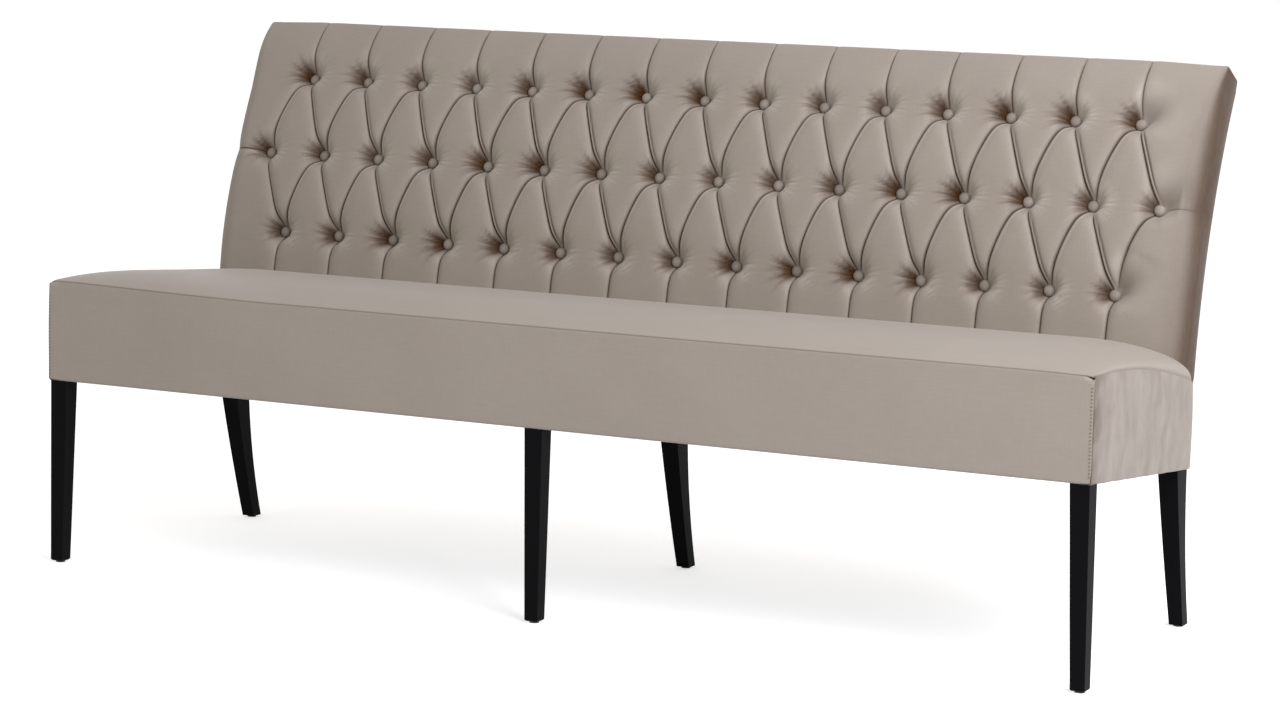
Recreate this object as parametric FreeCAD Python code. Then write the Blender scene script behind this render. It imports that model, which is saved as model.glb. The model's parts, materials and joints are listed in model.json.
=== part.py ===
import FreeCAD, Part
import math
import os

os.makedirs("parts", exist_ok=True)

# Upholstered dining bench with a deep-buttoned back on six wooden legs.
# X runs along the bench, Y from the front to the back, Z up, all in millimetres.
# The helpers below measure depth from the front face of the seat and height from the floor.

# Seat box
seat_length = 1900.0
seat_height = 486.0
border_height = 166.0
box_depth = 486.0
box_corner_radius = 28.0
seat_rake_share = 0.085
cover_thickness = 3.0
border_overhang = 3.0
dust_cover_thickness = 1.2

# Seat frame
rail_height = 100.0
rail_thickness = 25.0
cross_rail_share = 0.5
corner_block_leg = 65.0
corner_block_height = 40.0

# Seat filling, with heights of the cushion above its own flat base
webbing_thickness = 2.0
webbing_width = 60.0
webbing_pitch = 131.0
foam_rear_thickness = 33.0
cushion_front_edge = 12.0
cushion_front_swell = 31.0
cushion_shoulder = 46.0
cushion_middle = 56.0
cushion_rear_edge = 58.0
cushion_side_front = 10.0
cushion_side_swell = 15.0
cushion_side_shoulder = 22.0
cushion_side_middle = 22.0
cushion_side_rear = 10.0
cushion_shoulder_depth = 150.0
cushion_swell_share = 0.36
cushion_roll_width = 170.0
cushion_roll_shares = ((0.0, 0.0), (0.07, 0.34), (0.18, 0.55), (0.35, 0.75), (0.65, 0.93), (1.0, 1.0))

# Front legs and floor glides
front_leg_width = 32.0
front_foot_width = 24.0
front_foot_splay = 7.0
foot_chamfer = 2.0
glide_thickness = 3.0
glide_diameter = 16.0

# Rear legs, which run up as the posts of the back
post_width = 34.0
rear_foot_width = 24.0
rear_foot_depth = 25.0
rear_foot_reach = 77.0
front_sweep_bow = 3.0
rear_sweep_bow = 10.0

# Back, built in layers on arcs about one axis that lies behind the bench
back_inset = 25.0
overall_height = 920.0
back_radius = 1200.0
back_overlap = 15.0
back_lean_drop = 14.0
back_lean_angle = 8.5
back_roll_share = 0.1702
back_top_roll = 20.0
pad_tuck = 56.0
pad_edge_radius = 18.0
pad_thickness = 46.0
board_thickness = 5.0
post_depth = 26.0
top_flap_thickness = 12.0
top_rail_height = 60.0
lower_rail_height = 60.0

# Buttons and pleats of the back pad
button_spacing = 113.6
button_end_margin = 73.0
middle_row_share = 0.465
row_pitch_share = 0.3007
button_diameter = 19.0
button_rim = 5.0
button_dome = 3.0
button_sink = 31.0
dimple_radius = 27.0
pleat_depth = 18.0
pleat_top_depth = 6.0
pleat_half_width = 24.0
pleat_overrun = 6.0
pleat_across_share = 0.3
pleat_rise_share = 0.6
twine_diameter = 2.4
toggle_diameter = 16.0
toggle_thickness = 3.0

# Fasteners
dowel_diameter = 8.0
dowel_length = 30.0
front_dowel_offset = 22.0
side_dowel_offset = 41.0
back_dowel_offset = 15.0
bolt_diameter = 8.0
bolt_head_diameter = 14.0
bolt_head_height = 6.0
bolt_offset = 30.0
insert_diameter = 12.0
insert_length = 20.0
screw_diameter = 4.0
screw_head_diameter = 8.0
screw_head_height = 3.0
screw_seat = 15.0
screw_bite = 18.0
screw_offset = 30.0

# Clearances, and how far each cut runs past its piece
fit_clearance = 0.15
end_clearance = 0.5
curve_gap = 0.3
overrun = 20.0

# Places worked out for the seat
half_length = seat_length / 2
frame_half = half_length - cover_thickness
frame_rear = box_depth - cover_thickness
frame_corner_radius = box_corner_radius - cover_thickness
border_low = seat_height - border_height
rail_low = border_low + border_overhang
rail_high = rail_low + rail_height
webbing_high = rail_high + webbing_thickness
half_front_leg = front_leg_width / 2
leg_inner = frame_half - front_leg_width
leg_rear = cover_thickness + front_leg_width
side_rail_inner = frame_half - rail_thickness
front_rail_rear = cover_thickness + rail_thickness
rear_rail_front = box_depth - rail_thickness
cross_rail_spacing = seat_length * cross_rail_share
webbing_count = int(2 * side_rail_inner / webbing_pitch)

# Places worked out for the back
back_length = seat_length - 2 * back_inset
back_setback = box_depth - back_overlap
back_lean_height = seat_height - back_lean_drop
pad_bottom_height = seat_height - pad_tuck
rear_foot_setback = box_depth + rear_foot_reach
post_outer = back_length / 2 - cover_thickness
post_inner = post_outer - post_width
half_post = post_width / 2
post_centre = post_outer - half_post
lean = math.radians(back_lean_angle)
axis_depth = back_setback + back_radius * math.cos(lean)
axis_height = back_lean_height - back_radius * math.sin(lean)
post_layer = pad_thickness + board_thickness
cover_layer = post_layer + post_depth
rear_layer = cover_layer + cover_thickness
top_angle = math.asin((overall_height - axis_height) / (back_radius - back_top_roll))
back_sweep = top_angle - lean
roll_start = top_angle - back_roll_share * back_sweep
flap_angle = top_angle - top_flap_thickness / back_radius
pad_low_angle = math.asin((pad_bottom_height - axis_height) / back_radius)
top_rail_angle = flap_angle - top_rail_height / back_radius
lower_rail_angle = pad_low_angle + lower_rail_height / back_radius
button_base = button_sink + button_rim + button_dome
half_depth = (axis_depth - (back_radius - rear_layer) * math.cos(top_angle)) / 2

along_x = FreeCAD.Vector(1, 0, 0)
along_y = FreeCAD.Vector(0, 1, 0)
along_z = FreeCAD.Vector(0, 0, 1)


def at(x, depth, height):
    return FreeCAD.Vector(x, depth - half_depth, height)


def raked(depth, height):
    """Height at a depth of a line that falls to the back with the rake of the seat."""
    return height - seat_rake_share * depth


def rail_middle(depth):
    return raked(depth, rail_low + rail_height / 2)


def on_back(layer, angle):
    """Depth and height of a point that lies a layer's distance in from the face of the back."""
    radius = back_radius - layer
    return axis_depth - radius * math.cos(angle), axis_height + radius * math.sin(angle)


def angle_at(layer, height):
    return math.asin((height - axis_height) / (back_radius - layer))


def back_point(x, angle, layer):
    return at(x, *on_back(layer, angle))


def outward(angle):
    return FreeCAD.Vector(0, -math.cos(angle), math.sin(angle))


def bowed(low, high, bow):
    """Middle of an arc between two points of the side view, bowed towards the front."""
    run = high[0] - low[0]
    rise = high[1] - low[1]
    length = math.hypot(run, rise)
    return (low[0] + high[0]) / 2 - bow * rise / length, (low[1] + high[1]) / 2 + bow * run / length


def side_wire(x, start, steps):
    """Closed wire in the side view; a step is a point, or the middle and the end of an arc."""
    edges = []
    here = start
    for step in list(steps) + [start]:
        if isinstance(step[0], tuple):
            middle, end = step
            edges.append(Part.Arc(at(x, *here), at(x, *middle), at(x, *end)).toShape())
        else:
            end = step
            edges.append(Part.makeLine(at(x, *here), at(x, *end)))
        here = end
    return Part.Wire(edges)


def side_solid(x_from, x_to, start, steps):
    face = Part.Face(side_wire(x_from, start, steps))
    return face.extrude(along_x * (x_to - x_from))


def raked_slab(x_from, x_to, front, rear, low, high):
    """Board whose top and underside fall to the back with the rake of the seat."""
    corners = [(rear, raked(rear, low)), (rear, raked(rear, high)), (front, raked(front, high))]
    return side_solid(x_from, x_to, (front, raked(front, low)), corners)


def back_arc(layer, angle_from, angle_to):
    return on_back(layer, (angle_from + angle_to) / 2), on_back(layer, angle_to)


def back_slab(x_from, x_to, layer_front, layer_rear, angle_low, angle_high):
    """Curved slab of the back between two layers and two angles."""
    steps = [
        back_arc(layer_front, angle_low, angle_high),
        on_back(layer_rear, angle_high),
        back_arc(layer_rear, angle_high, angle_low),
    ]
    return side_solid(x_from, x_to, on_back(layer_front, angle_low), steps)


def rounded_plan(outer, front, rear, radius, low, high):
    """Right half of a plan from the middle plane out, with its rear corner rounded."""
    centre_x = outer - radius
    centre_depth = rear - radius
    reach = radius * math.sqrt(0.5)
    corner_middle = at(centre_x + reach, centre_depth + reach, low)
    edges = [
        Part.makeLine(at(0, front, low), at(outer, front, low)),
        Part.makeLine(at(outer, front, low), at(outer, centre_depth, low)),
        Part.Arc(at(outer, centre_depth, low), corner_middle, at(centre_x, rear, low)).toShape(),
        Part.makeLine(at(centre_x, rear, low), at(0, rear, low)),
        Part.makeLine(at(0, rear, low), at(0, front, low)),
    ]
    return Part.Face(Part.Wire(edges)).extrude(along_z * (high - low))


def mirrored(shape):
    return shape.mirror(FreeCAD.Vector(0, 0, 0), along_x)


def both_sides(shape):
    return [mirrored(shape), shape]


def rod(start, direction, diameter, length):
    return Part.makeCylinder(diameter / 2, length, start, direction)


def drilled(shape, holes):
    near = [hole for hole in holes if shape.BoundBox.intersect(hole.BoundBox)]
    return shape.cut(near) if near else shape


def save(name, *shapes):
    shape = shapes[0] if len(shapes) == 1 else Part.makeCompound(list(shapes))
    shape.exportStep("parts/" + name + ".step")


# Places of the buttons: column and angle of each, row by row
button_field = back_length - 2 * button_end_margin
button_row_count = round(button_field / button_spacing)
button_pitch = button_field / button_row_count


def button_row(row, count):
    angle = lean + (middle_row_share + row * row_pitch_share) * back_sweep
    return [((column - (count - 1) / 2) * button_pitch, angle) for column in range(count)]


bottom_row = button_row(-1, button_row_count)
middle_row = button_row(0, button_row_count + 1)
top_row = button_row(1, button_row_count)
buttons = bottom_row + middle_row + top_row
toggle_layer = post_layer + curve_gap


def button_rods(diameter, layer_from, layer_to):
    """Rods square to the face of the back, one at each button, between two layers."""
    rods = []
    for x, angle in buttons:
        rods.append(rod(back_point(x, angle, layer_to), outward(angle), diameter, layer_to - layer_from))
    return rods


toggle_rear = toggle_layer + toggle_thickness
toggle_pockets = button_rods(toggle_diameter + 2 * end_clearance, pad_thickness, toggle_rear + end_clearance)


# Dowels of every rail joint
def dowel_places():
    front_depth = cover_thickness + rail_thickness / 2
    rear_depth = box_depth - rail_thickness / 2
    side_x = frame_half - rail_thickness / 2
    back_middle = post_layer + post_depth / 2
    places = []
    for side in (-1, 1):
        for up in (-1, 1):
            front_height = rail_middle(front_depth) + up * front_dowel_offset
            for joint_x in (half_front_leg, leg_inner):
                places.append((at(side * joint_x, front_depth, front_height), along_x))
            side_height = rail_middle(leg_rear) + up * side_dowel_offset
            places.append((at(side * side_x, leg_rear, side_height), along_y))
            rear_height = rail_middle(rear_depth) + up * side_dowel_offset
            places.append((at(side * side_rail_inner, rear_depth, rear_height), along_x))
            for joint_depth in (front_rail_rear, rear_rail_front):
                cross_height = rail_middle(joint_depth) + up * front_dowel_offset
                places.append((at(side * cross_rail_spacing / 2, joint_depth, cross_height), along_y))
            for angle in ((top_rail_angle + flap_angle) / 2, (lower_rail_angle + pad_low_angle) / 2):
                dowel_angle = angle + up * back_dowel_offset / back_radius
                for joint_x in (half_post, post_inner):
                    places.append((back_point(side * joint_x, dowel_angle, back_middle), along_x))
    return places


def dowels(diameter, length):
    return [rod(point - axis * (length / 2), axis, diameter, length) for point, axis in dowel_places()]


dowel_holes = dowels(dowel_diameter + 2 * fit_clearance, dowel_length + 2 * end_clearance)


# Bolts and threaded inserts that hold the posts to the rear rail
def bolt_rods(diameter, depth_from, depth_to):
    rods = []
    for x in (-post_centre, 0, post_centre):
        for up in (-1, 1):
            height = rail_middle(box_depth) + up * bolt_offset
            rods.append(rod(at(x, depth_from, height), along_y, diameter, depth_to - depth_from))
    return rods


insert_rear = box_depth + insert_length
bolt_bore = bolt_diameter + 2 * fit_clearance
bolt_holes = bolt_rods(bolt_bore, rear_rail_front - overrun, box_depth + overrun)
insert_bore = insert_diameter + 2 * fit_clearance
insert_holes = bolt_rods(insert_bore, box_depth - overrun, insert_rear + end_clearance)


def post_bolts():
    heads = bolt_rods(bolt_head_diameter, rear_rail_front - bolt_head_height, rear_rail_front)
    shanks = bolt_rods(bolt_diameter, rear_rail_front, insert_rear)
    return [head.fuse(shank).removeSplitter() for head, shank in zip(heads, shanks)]


def post_inserts():
    sleeves = bolt_rods(insert_diameter, box_depth, insert_rear)
    bores = bolt_rods(bolt_bore, box_depth - overrun, insert_rear + overrun)
    return [sleeve.cut(bore) for sleeve, bore in zip(sleeves, bores)]


# Corner blocks on the right, each with two screws; towards is the way into the frame
block_corners = [(front_rail_rear, 1), (rear_rail_front, -1)]


def corner_block(corner_depth, towards):
    low = rail_middle(corner_depth) - corner_block_height / 2
    points = [
        at(side_rail_inner, corner_depth, low),
        at(side_rail_inner - corner_block_leg, corner_depth, low),
        at(side_rail_inner, corner_depth + towards * corner_block_leg, low),
    ]
    block = Part.Face(Part.makePolygon(points + points[:1])).extrude(along_z * corner_block_height)
    leg_width = front_leg_width + end_clearance
    leg_corner = at(leg_inner - end_clearance, cover_thickness, low - overrun)
    leg_space = Part.makeBox(leg_width, leg_width, corner_block_height + 2 * overrun, leg_corner)
    return drilled(block.cut(leg_space), screw_holes)


def screw_places():
    """Underside of the head and direction of each screw on the right."""
    places = []
    for corner_depth, towards in block_corners:
        height = rail_middle(corner_depth)
        end_start = at(side_rail_inner - screw_offset, corner_depth + towards * screw_seat, height)
        side_start = at(side_rail_inner - screw_seat, corner_depth + towards * screw_offset, height)
        places.extend([(end_start, along_y * -towards), (side_start, along_x)])
    return places


def headed_rod(start, direction, diameter, length, head_diameter, head_height):
    head = rod(start - direction * head_height, direction, head_diameter, head_height)
    return head.fuse(rod(start, direction, diameter, length)).removeSplitter()


def corner_screws():
    screws = []
    length = screw_seat + screw_bite
    for start, direction in screw_places():
        piece = headed_rod(start, direction, screw_diameter, length, screw_head_diameter, screw_head_height)
        screws.extend(both_sides(piece))
    return screws


def screw_spaces():
    spaces = []
    bore = screw_diameter + 2 * fit_clearance
    length = screw_seat + screw_bite + end_clearance
    pocket = screw_head_diameter + 2 * end_clearance
    for start, direction in screw_places():
        spaces.extend(both_sides(headed_rod(start, direction, bore, length, pocket, corner_block_leg)))
    return spaces


screw_holes = screw_spaces()
frame_holes = dowel_holes + screw_holes


# Front legs: a square stub between the rails on a tapered foot
def front_leg(side):
    centre = side * (frame_half - half_front_leg)
    foot_centre = centre + side * front_foot_splay
    middle_depth = cover_thickness + half_front_leg
    taper_top = raked(leg_rear, border_low)

    def square(middle, width, height):
        half = width / 2
        corners = [(-half, -half), (half, -half), (half, half), (-half, half)]
        points = [at(middle + x, middle_depth + y, height) for x, y in corners]
        return Part.makePolygon(points + points[:1])

    sections = [
        square(foot_centre, front_foot_width - 2 * foot_chamfer, glide_thickness),
        square(foot_centre, front_foot_width, glide_thickness + foot_chamfer),
        square(centre, front_leg_width, taper_top),
    ]
    taper = Part.makeLoft(sections, True, True)
    stub_steps = [
        (leg_rear, taper_top),
        (leg_rear, raked(leg_rear, rail_high)),
        (cover_thickness, raked(cover_thickness, rail_high)),
    ]
    left = centre - half_front_leg
    stub = side_solid(left, left + front_leg_width, (cover_thickness, taper_top), stub_steps)
    return drilled(taper.fuse(stub).removeSplitter(), frame_holes)


# Rear legs: one sawn piece from the floor to the top rail, swept back above and below the seat
def rear_leg(centre):
    front_layer = post_layer + curve_gap
    seat_under = raked(box_depth, rail_low)
    low_angle = angle_at(cover_layer, seat_under)
    foot_front = (rear_foot_setback, glide_thickness)
    foot_rear = (rear_foot_setback + rear_foot_depth, glide_thickness)
    seat_front = (box_depth, seat_under)
    seat_rear = on_back(cover_layer, low_angle)
    steps = [
        (bowed(foot_front, seat_front, front_sweep_bow), seat_front),
        (box_depth, raked(box_depth, rail_high)),
        on_back(front_layer, pad_low_angle),
        back_arc(front_layer, pad_low_angle, flap_angle),
        on_back(cover_layer, flap_angle),
        back_arc(cover_layer, flap_angle, low_angle),
        (bowed(foot_rear, seat_rear, rear_sweep_bow), foot_rear),
    ]
    post = side_solid(centre - half_post, centre + half_post, foot_front, steps)
    half_foot = rear_foot_width / 2
    taper_share = (half_post - half_foot) / (seat_under - glide_thickness)
    wedges = []
    for side in (-1, 1):
        outer_x = centre + side * (half_post + overrun)
        low_x = centre + side * (half_foot - taper_share * (overrun + glide_thickness))
        points = [
            at(centre + side * half_post, 0, seat_under),
            at(outer_x, 0, seat_under),
            at(outer_x, 0, -overrun),
            at(low_x, 0, -overrun),
        ]
        wedges.append(Part.Face(Part.makePolygon(points + points[:1])).extrude(along_y * (2 * half_depth)))
    return drilled(post.cut(wedges), dowel_holes + insert_holes + toggle_pockets)


def floor_glides():
    front_depth = cover_thickness + half_front_leg
    rear_depth = rear_foot_setback + rear_foot_depth / 2
    glides = []
    front_x = frame_half - half_front_leg + front_foot_splay
    for depth, outer_x in ((front_depth, front_x), (rear_depth, post_centre)):
        for x in (-outer_x, 0, outer_x):
            glides.append(rod(at(x, depth, 0), along_z, glide_diameter, glide_thickness))
    return glides


# Rails of the seat frame
def front_rail(side):
    x_from, x_to = sorted((side * half_front_leg, side * leg_inner))
    rail = raked_slab(x_from, x_to, cover_thickness, front_rail_rear, rail_low, rail_high)
    return drilled(rail, frame_holes)


def rear_rail():
    rail = raked_slab(-side_rail_inner, side_rail_inner, rear_rail_front, box_depth, rail_low, rail_high)
    return drilled(rail, frame_holes + bolt_holes)


def side_rail():
    rail = raked_slab(side_rail_inner, frame_half, leg_rear, box_depth, rail_low, rail_high)
    return drilled(rail.common(inner_plan()), frame_holes)


def cross_rail(side):
    centre = side * cross_rail_spacing / 2
    half = rail_thickness / 2
    rail = raked_slab(centre - half, centre + half, front_rail_rear, rear_rail_front, rail_low, rail_high)
    return drilled(rail, dowel_holes)


def inner_plan():
    """Space inside the borders on the right, as high as the bench."""
    rear = frame_rear - curve_gap
    return rounded_plan(frame_half, cover_thickness, rear, frame_corner_radius, 0, overall_height)


# Webbing, foam and cushion of the seat
filling_rear = on_back(0, pad_low_angle)[0] - curve_gap
base_front = seat_height - cushion_front_edge
base_rear = raked(filling_rear, webbing_high) + foam_rear_thickness


def cushion_base(depth):
    share = (depth - cover_thickness) / (filling_rear - cover_thickness)
    return base_front + (base_rear - base_front) * share


def webbing():
    straps = []
    for column in range(webbing_count):
        left = (column - (webbing_count - 1) / 2) * webbing_pitch - webbing_width / 2
        right = left + webbing_width
        straps.append(raked_slab(left, right, cover_thickness, frame_rear, rail_high, webbing_high))
    return straps


def seat_foam():
    start = (cover_thickness, raked(cover_thickness, webbing_high))
    steps = [
        (filling_rear, raked(filling_rear, webbing_high)),
        (filling_rear, base_rear),
        (cover_thickness, base_front),
    ]
    right = side_solid(0, frame_half, start, steps).common(inner_plan())
    return right.fuse(mirrored(right)).removeSplitter()


def cushion_outline(share):
    """Top of the cushion from front to rear: the side edge at share 0, the full crown at share 1."""
    middle_depth = (cushion_shoulder_depth + filling_rear) / 2
    swell_depth = cushion_swell_share * cushion_shoulder_depth
    stations = (
        (cover_thickness, cushion_side_front, cushion_front_edge),
        (swell_depth, cushion_side_swell, cushion_front_swell),
        (cushion_shoulder_depth, cushion_side_shoulder, cushion_shoulder),
        (middle_depth, cushion_side_middle, cushion_middle),
        (filling_rear, cushion_side_rear, cushion_rear_edge),
    )
    return [(depth, cushion_base(depth) + low + (high - low) * share) for depth, low, high in stations]


def seat_cushion():
    sections = []
    for roll, share in cushion_roll_shares:
        front, swell, shoulder, middle, rear = cushion_outline(share)
        steps = [front, (swell, shoulder), (middle, rear), (filling_rear, base_rear)]
        section_x = frame_half - roll * cushion_roll_width
        sections.append(side_wire(section_x, (cover_thickness, base_front), steps))
    ends = Part.makeLoft(sections, True, True).common(inner_plan())
    inner_x = frame_half - cushion_roll_width
    front, swell, shoulder, middle, rear = cushion_outline(1)
    steps = [front, (swell, shoulder), (middle, rear), (filling_rear, base_rear)]
    centre = side_solid(-inner_x, inner_x, (cover_thickness, base_front), steps)
    return centre.fuse([ends, mirrored(ends)]).removeSplitter()


# Fabric covers of the seat box
def front_border():
    corner = at(-half_length, 0, border_low)
    return Part.makeBox(seat_length, cover_thickness, border_height, corner)


def side_border():
    front, swell, shoulder, middle, rear = cushion_outline(0)
    low_front = (cover_thickness, raked(cover_thickness, border_low))
    low_rear = (box_depth, raked(box_depth, border_low))
    high_rear = (box_depth, rear[1] - seat_rake_share * (box_depth - filling_rear))
    steps = [front, (swell, shoulder), (middle, rear), high_rear, low_rear]
    panel = side_solid(post_outer, half_length, low_front, steps)
    outside = rounded_plan(half_length, 0, box_depth, box_corner_radius, 0, overall_height)
    inside = rounded_plan(frame_half, 0, frame_rear, frame_corner_radius, -overrun, overall_height + overrun)
    return panel.common(outside).cut(inside)


def dust_cover():
    low = rail_low - dust_cover_thickness
    inner = raked_slab(0, frame_half, cover_thickness, box_depth, low, rail_low).common(inner_plan())
    rear = angle_at(cover_layer, raked(box_depth, rail_low))
    tail = raked_slab(0, post_outer, rear_rail_front, on_back(cover_layer, rear)[0], low, rail_low)
    half = inner.fuse(tail).removeSplitter()
    cloth = half.fuse(mirrored(half)).removeSplitter()
    spaces = []
    for x in (-post_centre, 0, post_centre):
        corner = at(x - half_post - end_clearance, box_depth - end_clearance, 0)
        spaces.append(Part.makeBox(post_width + 2 * end_clearance, box_depth, overall_height, corner))
    leg_centre = frame_half - half_front_leg
    leg_room = front_leg_width + 2 * end_clearance
    for x in (-leg_centre, 0, leg_centre):
        corner = at(x - half_front_leg - end_clearance, 0, 0)
        spaces.append(Part.makeBox(leg_room, leg_rear + end_clearance, overall_height, corner))
    return cloth.cut(spaces)


# Frame of the back: rails between the posts and the bent board that the twines pass through
def back_rail(side, angle_low, angle_high):
    x_from, x_to = sorted((side * half_post, side * post_inner))
    rail = back_slab(x_from, x_to, post_layer + curve_gap, cover_layer, angle_low, angle_high)
    return drilled(rail, dowel_holes + toggle_pockets)


def tufting_board():
    front_layer = pad_thickness + curve_gap
    board = back_slab(-post_outer, post_outer, front_layer, post_layer, pad_low_angle, flap_angle)
    bore = twine_diameter + 2 * fit_clearance
    return board.cut(button_rods(bore, pad_thickness - overrun, post_layer + overrun))


# Back pad: a slab rolled over the top, with pleats between the buttons and a dimple at each button
def roll_arc():
    """Arc that leaves the face of the back smoothly and ends at the top edge."""
    start = FreeCAD.Vector(*on_back(0, roll_start), 0)
    end = FreeCAD.Vector(*on_back(back_top_roll, top_angle), 0)
    inward = FreeCAD.Vector(math.cos(roll_start), -math.sin(roll_start), 0)
    chord = end - start
    centre = start + inward * (chord.dot(chord) / (2 * chord.dot(inward)))
    spread = (start - centre) + (end - centre)
    middle = centre + spread.normalize() * (start - centre).Length
    return (middle.x, middle.y), (end.x, end.y)


def pad_span(x_from, x_to, cuts):
    """Length of the pad with its pleats and dimples; an outer end has its face edge rounded."""
    steps = [
        back_arc(0, pad_low_angle, roll_start),
        roll_arc(),
        on_back(rear_layer, top_angle),
        on_back(rear_layer, flap_angle),
        on_back(pad_thickness, flap_angle),
        back_arc(pad_thickness, flap_angle, pad_low_angle),
    ]
    body = side_solid(x_from, x_to, on_back(0, pad_low_angle), steps)
    half = back_length / 2
    face_arcs = [back_arc(0, pad_low_angle, roll_start)[0], roll_arc()[0]]
    edges = []
    for end in (x_from, x_to):
        for middle in face_arcs:
            spot = Part.Vertex(at(end, *middle))
            if abs(end) >= half:
                edges.extend(edge for edge in body.Edges if edge.distToShape(spot)[0] < fit_clearance)
    if edges:
        body = body.makeFillet(pad_edge_radius, edges)
    return drilled(body, cuts)


def pleat(start, end, start_depth, end_depth):
    """Groove with rounded shoulders along a straight line between two points of the face."""
    low = back_point(*start, start_depth)
    run = back_point(*end, end_depth) - low
    across = run.cross(outward((start[1] + end[1]) / 2)).normalize()
    up = across.cross(run).normalize()
    top = pleat_depth + pleat_overrun

    def place(share_across, rise):
        return low + across * (share_across * pleat_half_width) + up * rise

    shoulder = pleat_rise_share * pleat_depth
    edges = [
        Part.Arc(place(0, 0), place(pleat_across_share, shoulder), place(1, top)).toShape(),
        Part.makeLine(place(1, top), place(-1, top)),
        Part.Arc(place(-1, top), place(-pleat_across_share, shoulder), place(0, 0)).toShape(),
    ]
    return Part.Face(Part.Wire(edges)).extrude(run)


def pleats():
    grooves = []
    low_end = pad_low_angle - overrun / back_radius
    for x, angle in bottom_row:
        grooves.append(pleat((x, low_end), (x, angle), pleat_depth, pleat_depth))
    for x, angle in top_row:
        grooves.append(pleat((x, angle), (x, top_angle), pleat_depth, back_top_roll + pleat_top_depth))
    for row in (bottom_row, top_row):
        for column, place in enumerate(row):
            for neighbour in middle_row[column:column + 2]:
                grooves.append(pleat(place, neighbour, pleat_depth, pleat_depth))
    for side, place in ((-1, middle_row[0]), (1, middle_row[-1])):
        edge = (side * (back_length / 2 + overrun), place[1])
        grooves.append(pleat(place, edge, pleat_depth, pleat_depth))
    return grooves


def dimple(x, angle):
    """Cone down to the button, the button's seat and the bore of its twine."""
    seat_radius = button_diameter / 2 + curve_gap
    bore_radius = twine_diameter / 2 + fit_clearance
    top_layer = -pleat_overrun
    low_layer = pad_thickness + overrun
    outline = [
        (0, low_layer),
        (bore_radius, low_layer),
        (bore_radius, button_base),
        (seat_radius, button_base),
        (seat_radius, button_sink),
        (dimple_radius, top_layer),
        (0, top_layer),
    ]
    points = [back_point(x + radius, angle, layer) for radius, layer in outline]
    face = Part.Face(Part.makePolygon(points + points[:1]))
    return face.revolve(back_point(x, angle, 0), outward(angle), 360)


def back_pad():
    """One span repeats along the pad, parted between the dimples, with an end of its own on each side."""
    cuts = pleats() + [dimple(x, angle) for x, angle in buttons]
    first_x = bottom_row[0][0] - button_pitch / 4
    last_x = first_x + (button_row_count - 1) * button_pitch
    half = back_length / 2
    span = pad_span(first_x, first_x + button_pitch, cuts)
    spans = [pad_span(-half, first_x, cuts), pad_span(last_x, half, cuts)]
    for column in range(button_row_count - 1):
        spans.append(span.translated(along_x * (column * button_pitch)))
    return spans[0].fuse(spans[1:]).removeSplitter()


def tuft_button(x, angle):
    """Covered button: a short rim under a shallow dome, turned about its own axis."""
    radius = button_diameter / 2
    dome_radius = (radius * radius + button_dome * button_dome) / (2 * button_dome)
    half_reach = radius / 2
    dome_layer = button_sink + dome_radius - math.sqrt(dome_radius * dome_radius - half_reach * half_reach)
    rim_layer = button_sink + button_dome
    centre_low, edge_low, edge_high, dome_middle, crown = [
        back_point(x + reach, angle, layer)
        for reach, layer in (
            (0, button_base),
            (radius, button_base),
            (radius, rim_layer),
            (half_reach, dome_layer),
            (0, button_sink),
        )
    ]
    edges = [
        Part.makeLine(centre_low, edge_low),
        Part.makeLine(edge_low, edge_high),
        Part.Arc(edge_high, dome_middle, crown).toShape(),
        Part.makeLine(crown, centre_low),
    ]
    return Part.Face(Part.Wire(edges)).revolve(back_point(x, angle, 0), outward(angle), 360)


# Covers of the sides and the rear of the back
back_low = raked(box_depth, border_low)


def back_side_cover():
    layer = pad_thickness + curve_gap
    pad_radius = (axis_depth - box_depth) / math.cos(pad_low_angle)
    low_angle = angle_at(rear_layer, back_low)
    steps = [
        (box_depth, axis_height + pad_radius * math.sin(pad_low_angle)),
        on_back(layer, pad_low_angle),
        back_arc(layer, pad_low_angle, flap_angle),
        on_back(rear_layer, flap_angle),
        back_arc(rear_layer, flap_angle, low_angle),
    ]
    return side_solid(post_outer, post_outer + cover_thickness, (box_depth, back_low), steps)


def outside_back_cover():
    layer = cover_layer + curve_gap
    return back_slab(-post_outer, post_outer, layer, rear_layer, angle_at(rear_layer, back_low), flap_angle)


for name, side in (("left", -1), ("middle", 0), ("right", 1)):
    save("front_leg_" + name, front_leg(side))
    save("rear_leg_" + name, rear_leg(side * post_centre))
for name, side in (("left", -1), ("right", 1)):
    save("front_rail_" + name, front_rail(side))
    save("cross_rail_" + name, cross_rail(side))
    save("back_top_rail_" + name, back_rail(side, top_rail_angle, flap_angle))
    save("back_lower_rail_" + name, back_rail(side, pad_low_angle, lower_rail_angle))
    save("side_rail_" + name, both_sides(side_rail())[side > 0])
    save("seat_side_border_" + name, both_sides(side_border())[side > 0])
    save("back_side_cover_" + name, both_sides(back_side_cover())[side > 0])
save("rear_rail", rear_rail())
blocks = []
for corner_depth, towards in block_corners:
    blocks.extend(both_sides(corner_block(corner_depth, towards)))
save("corner_blocks", *blocks)
save("corner_screws", *corner_screws())
save("rail_dowels", *dowels(dowel_diameter, dowel_length))
save("post_bolts", *post_bolts())
save("post_inserts", *post_inserts())
save("floor_glides", *floor_glides())
save("seat_webbing", *webbing())
save("seat_foam", seat_foam())
save("seat_cushion", seat_cushion())
save("seat_front_border", front_border())
save("dust_cover", dust_cover())
save("tufting_board", tufting_board())
save("back_pad", back_pad())
save("tuft_buttons", *[tuft_button(x, angle) for x, angle in buttons])
save("button_twines", *button_rods(twine_diameter, button_base, toggle_layer))
save("twine_toggles", *button_rods(toggle_diameter, toggle_layer, toggle_rear))
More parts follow.
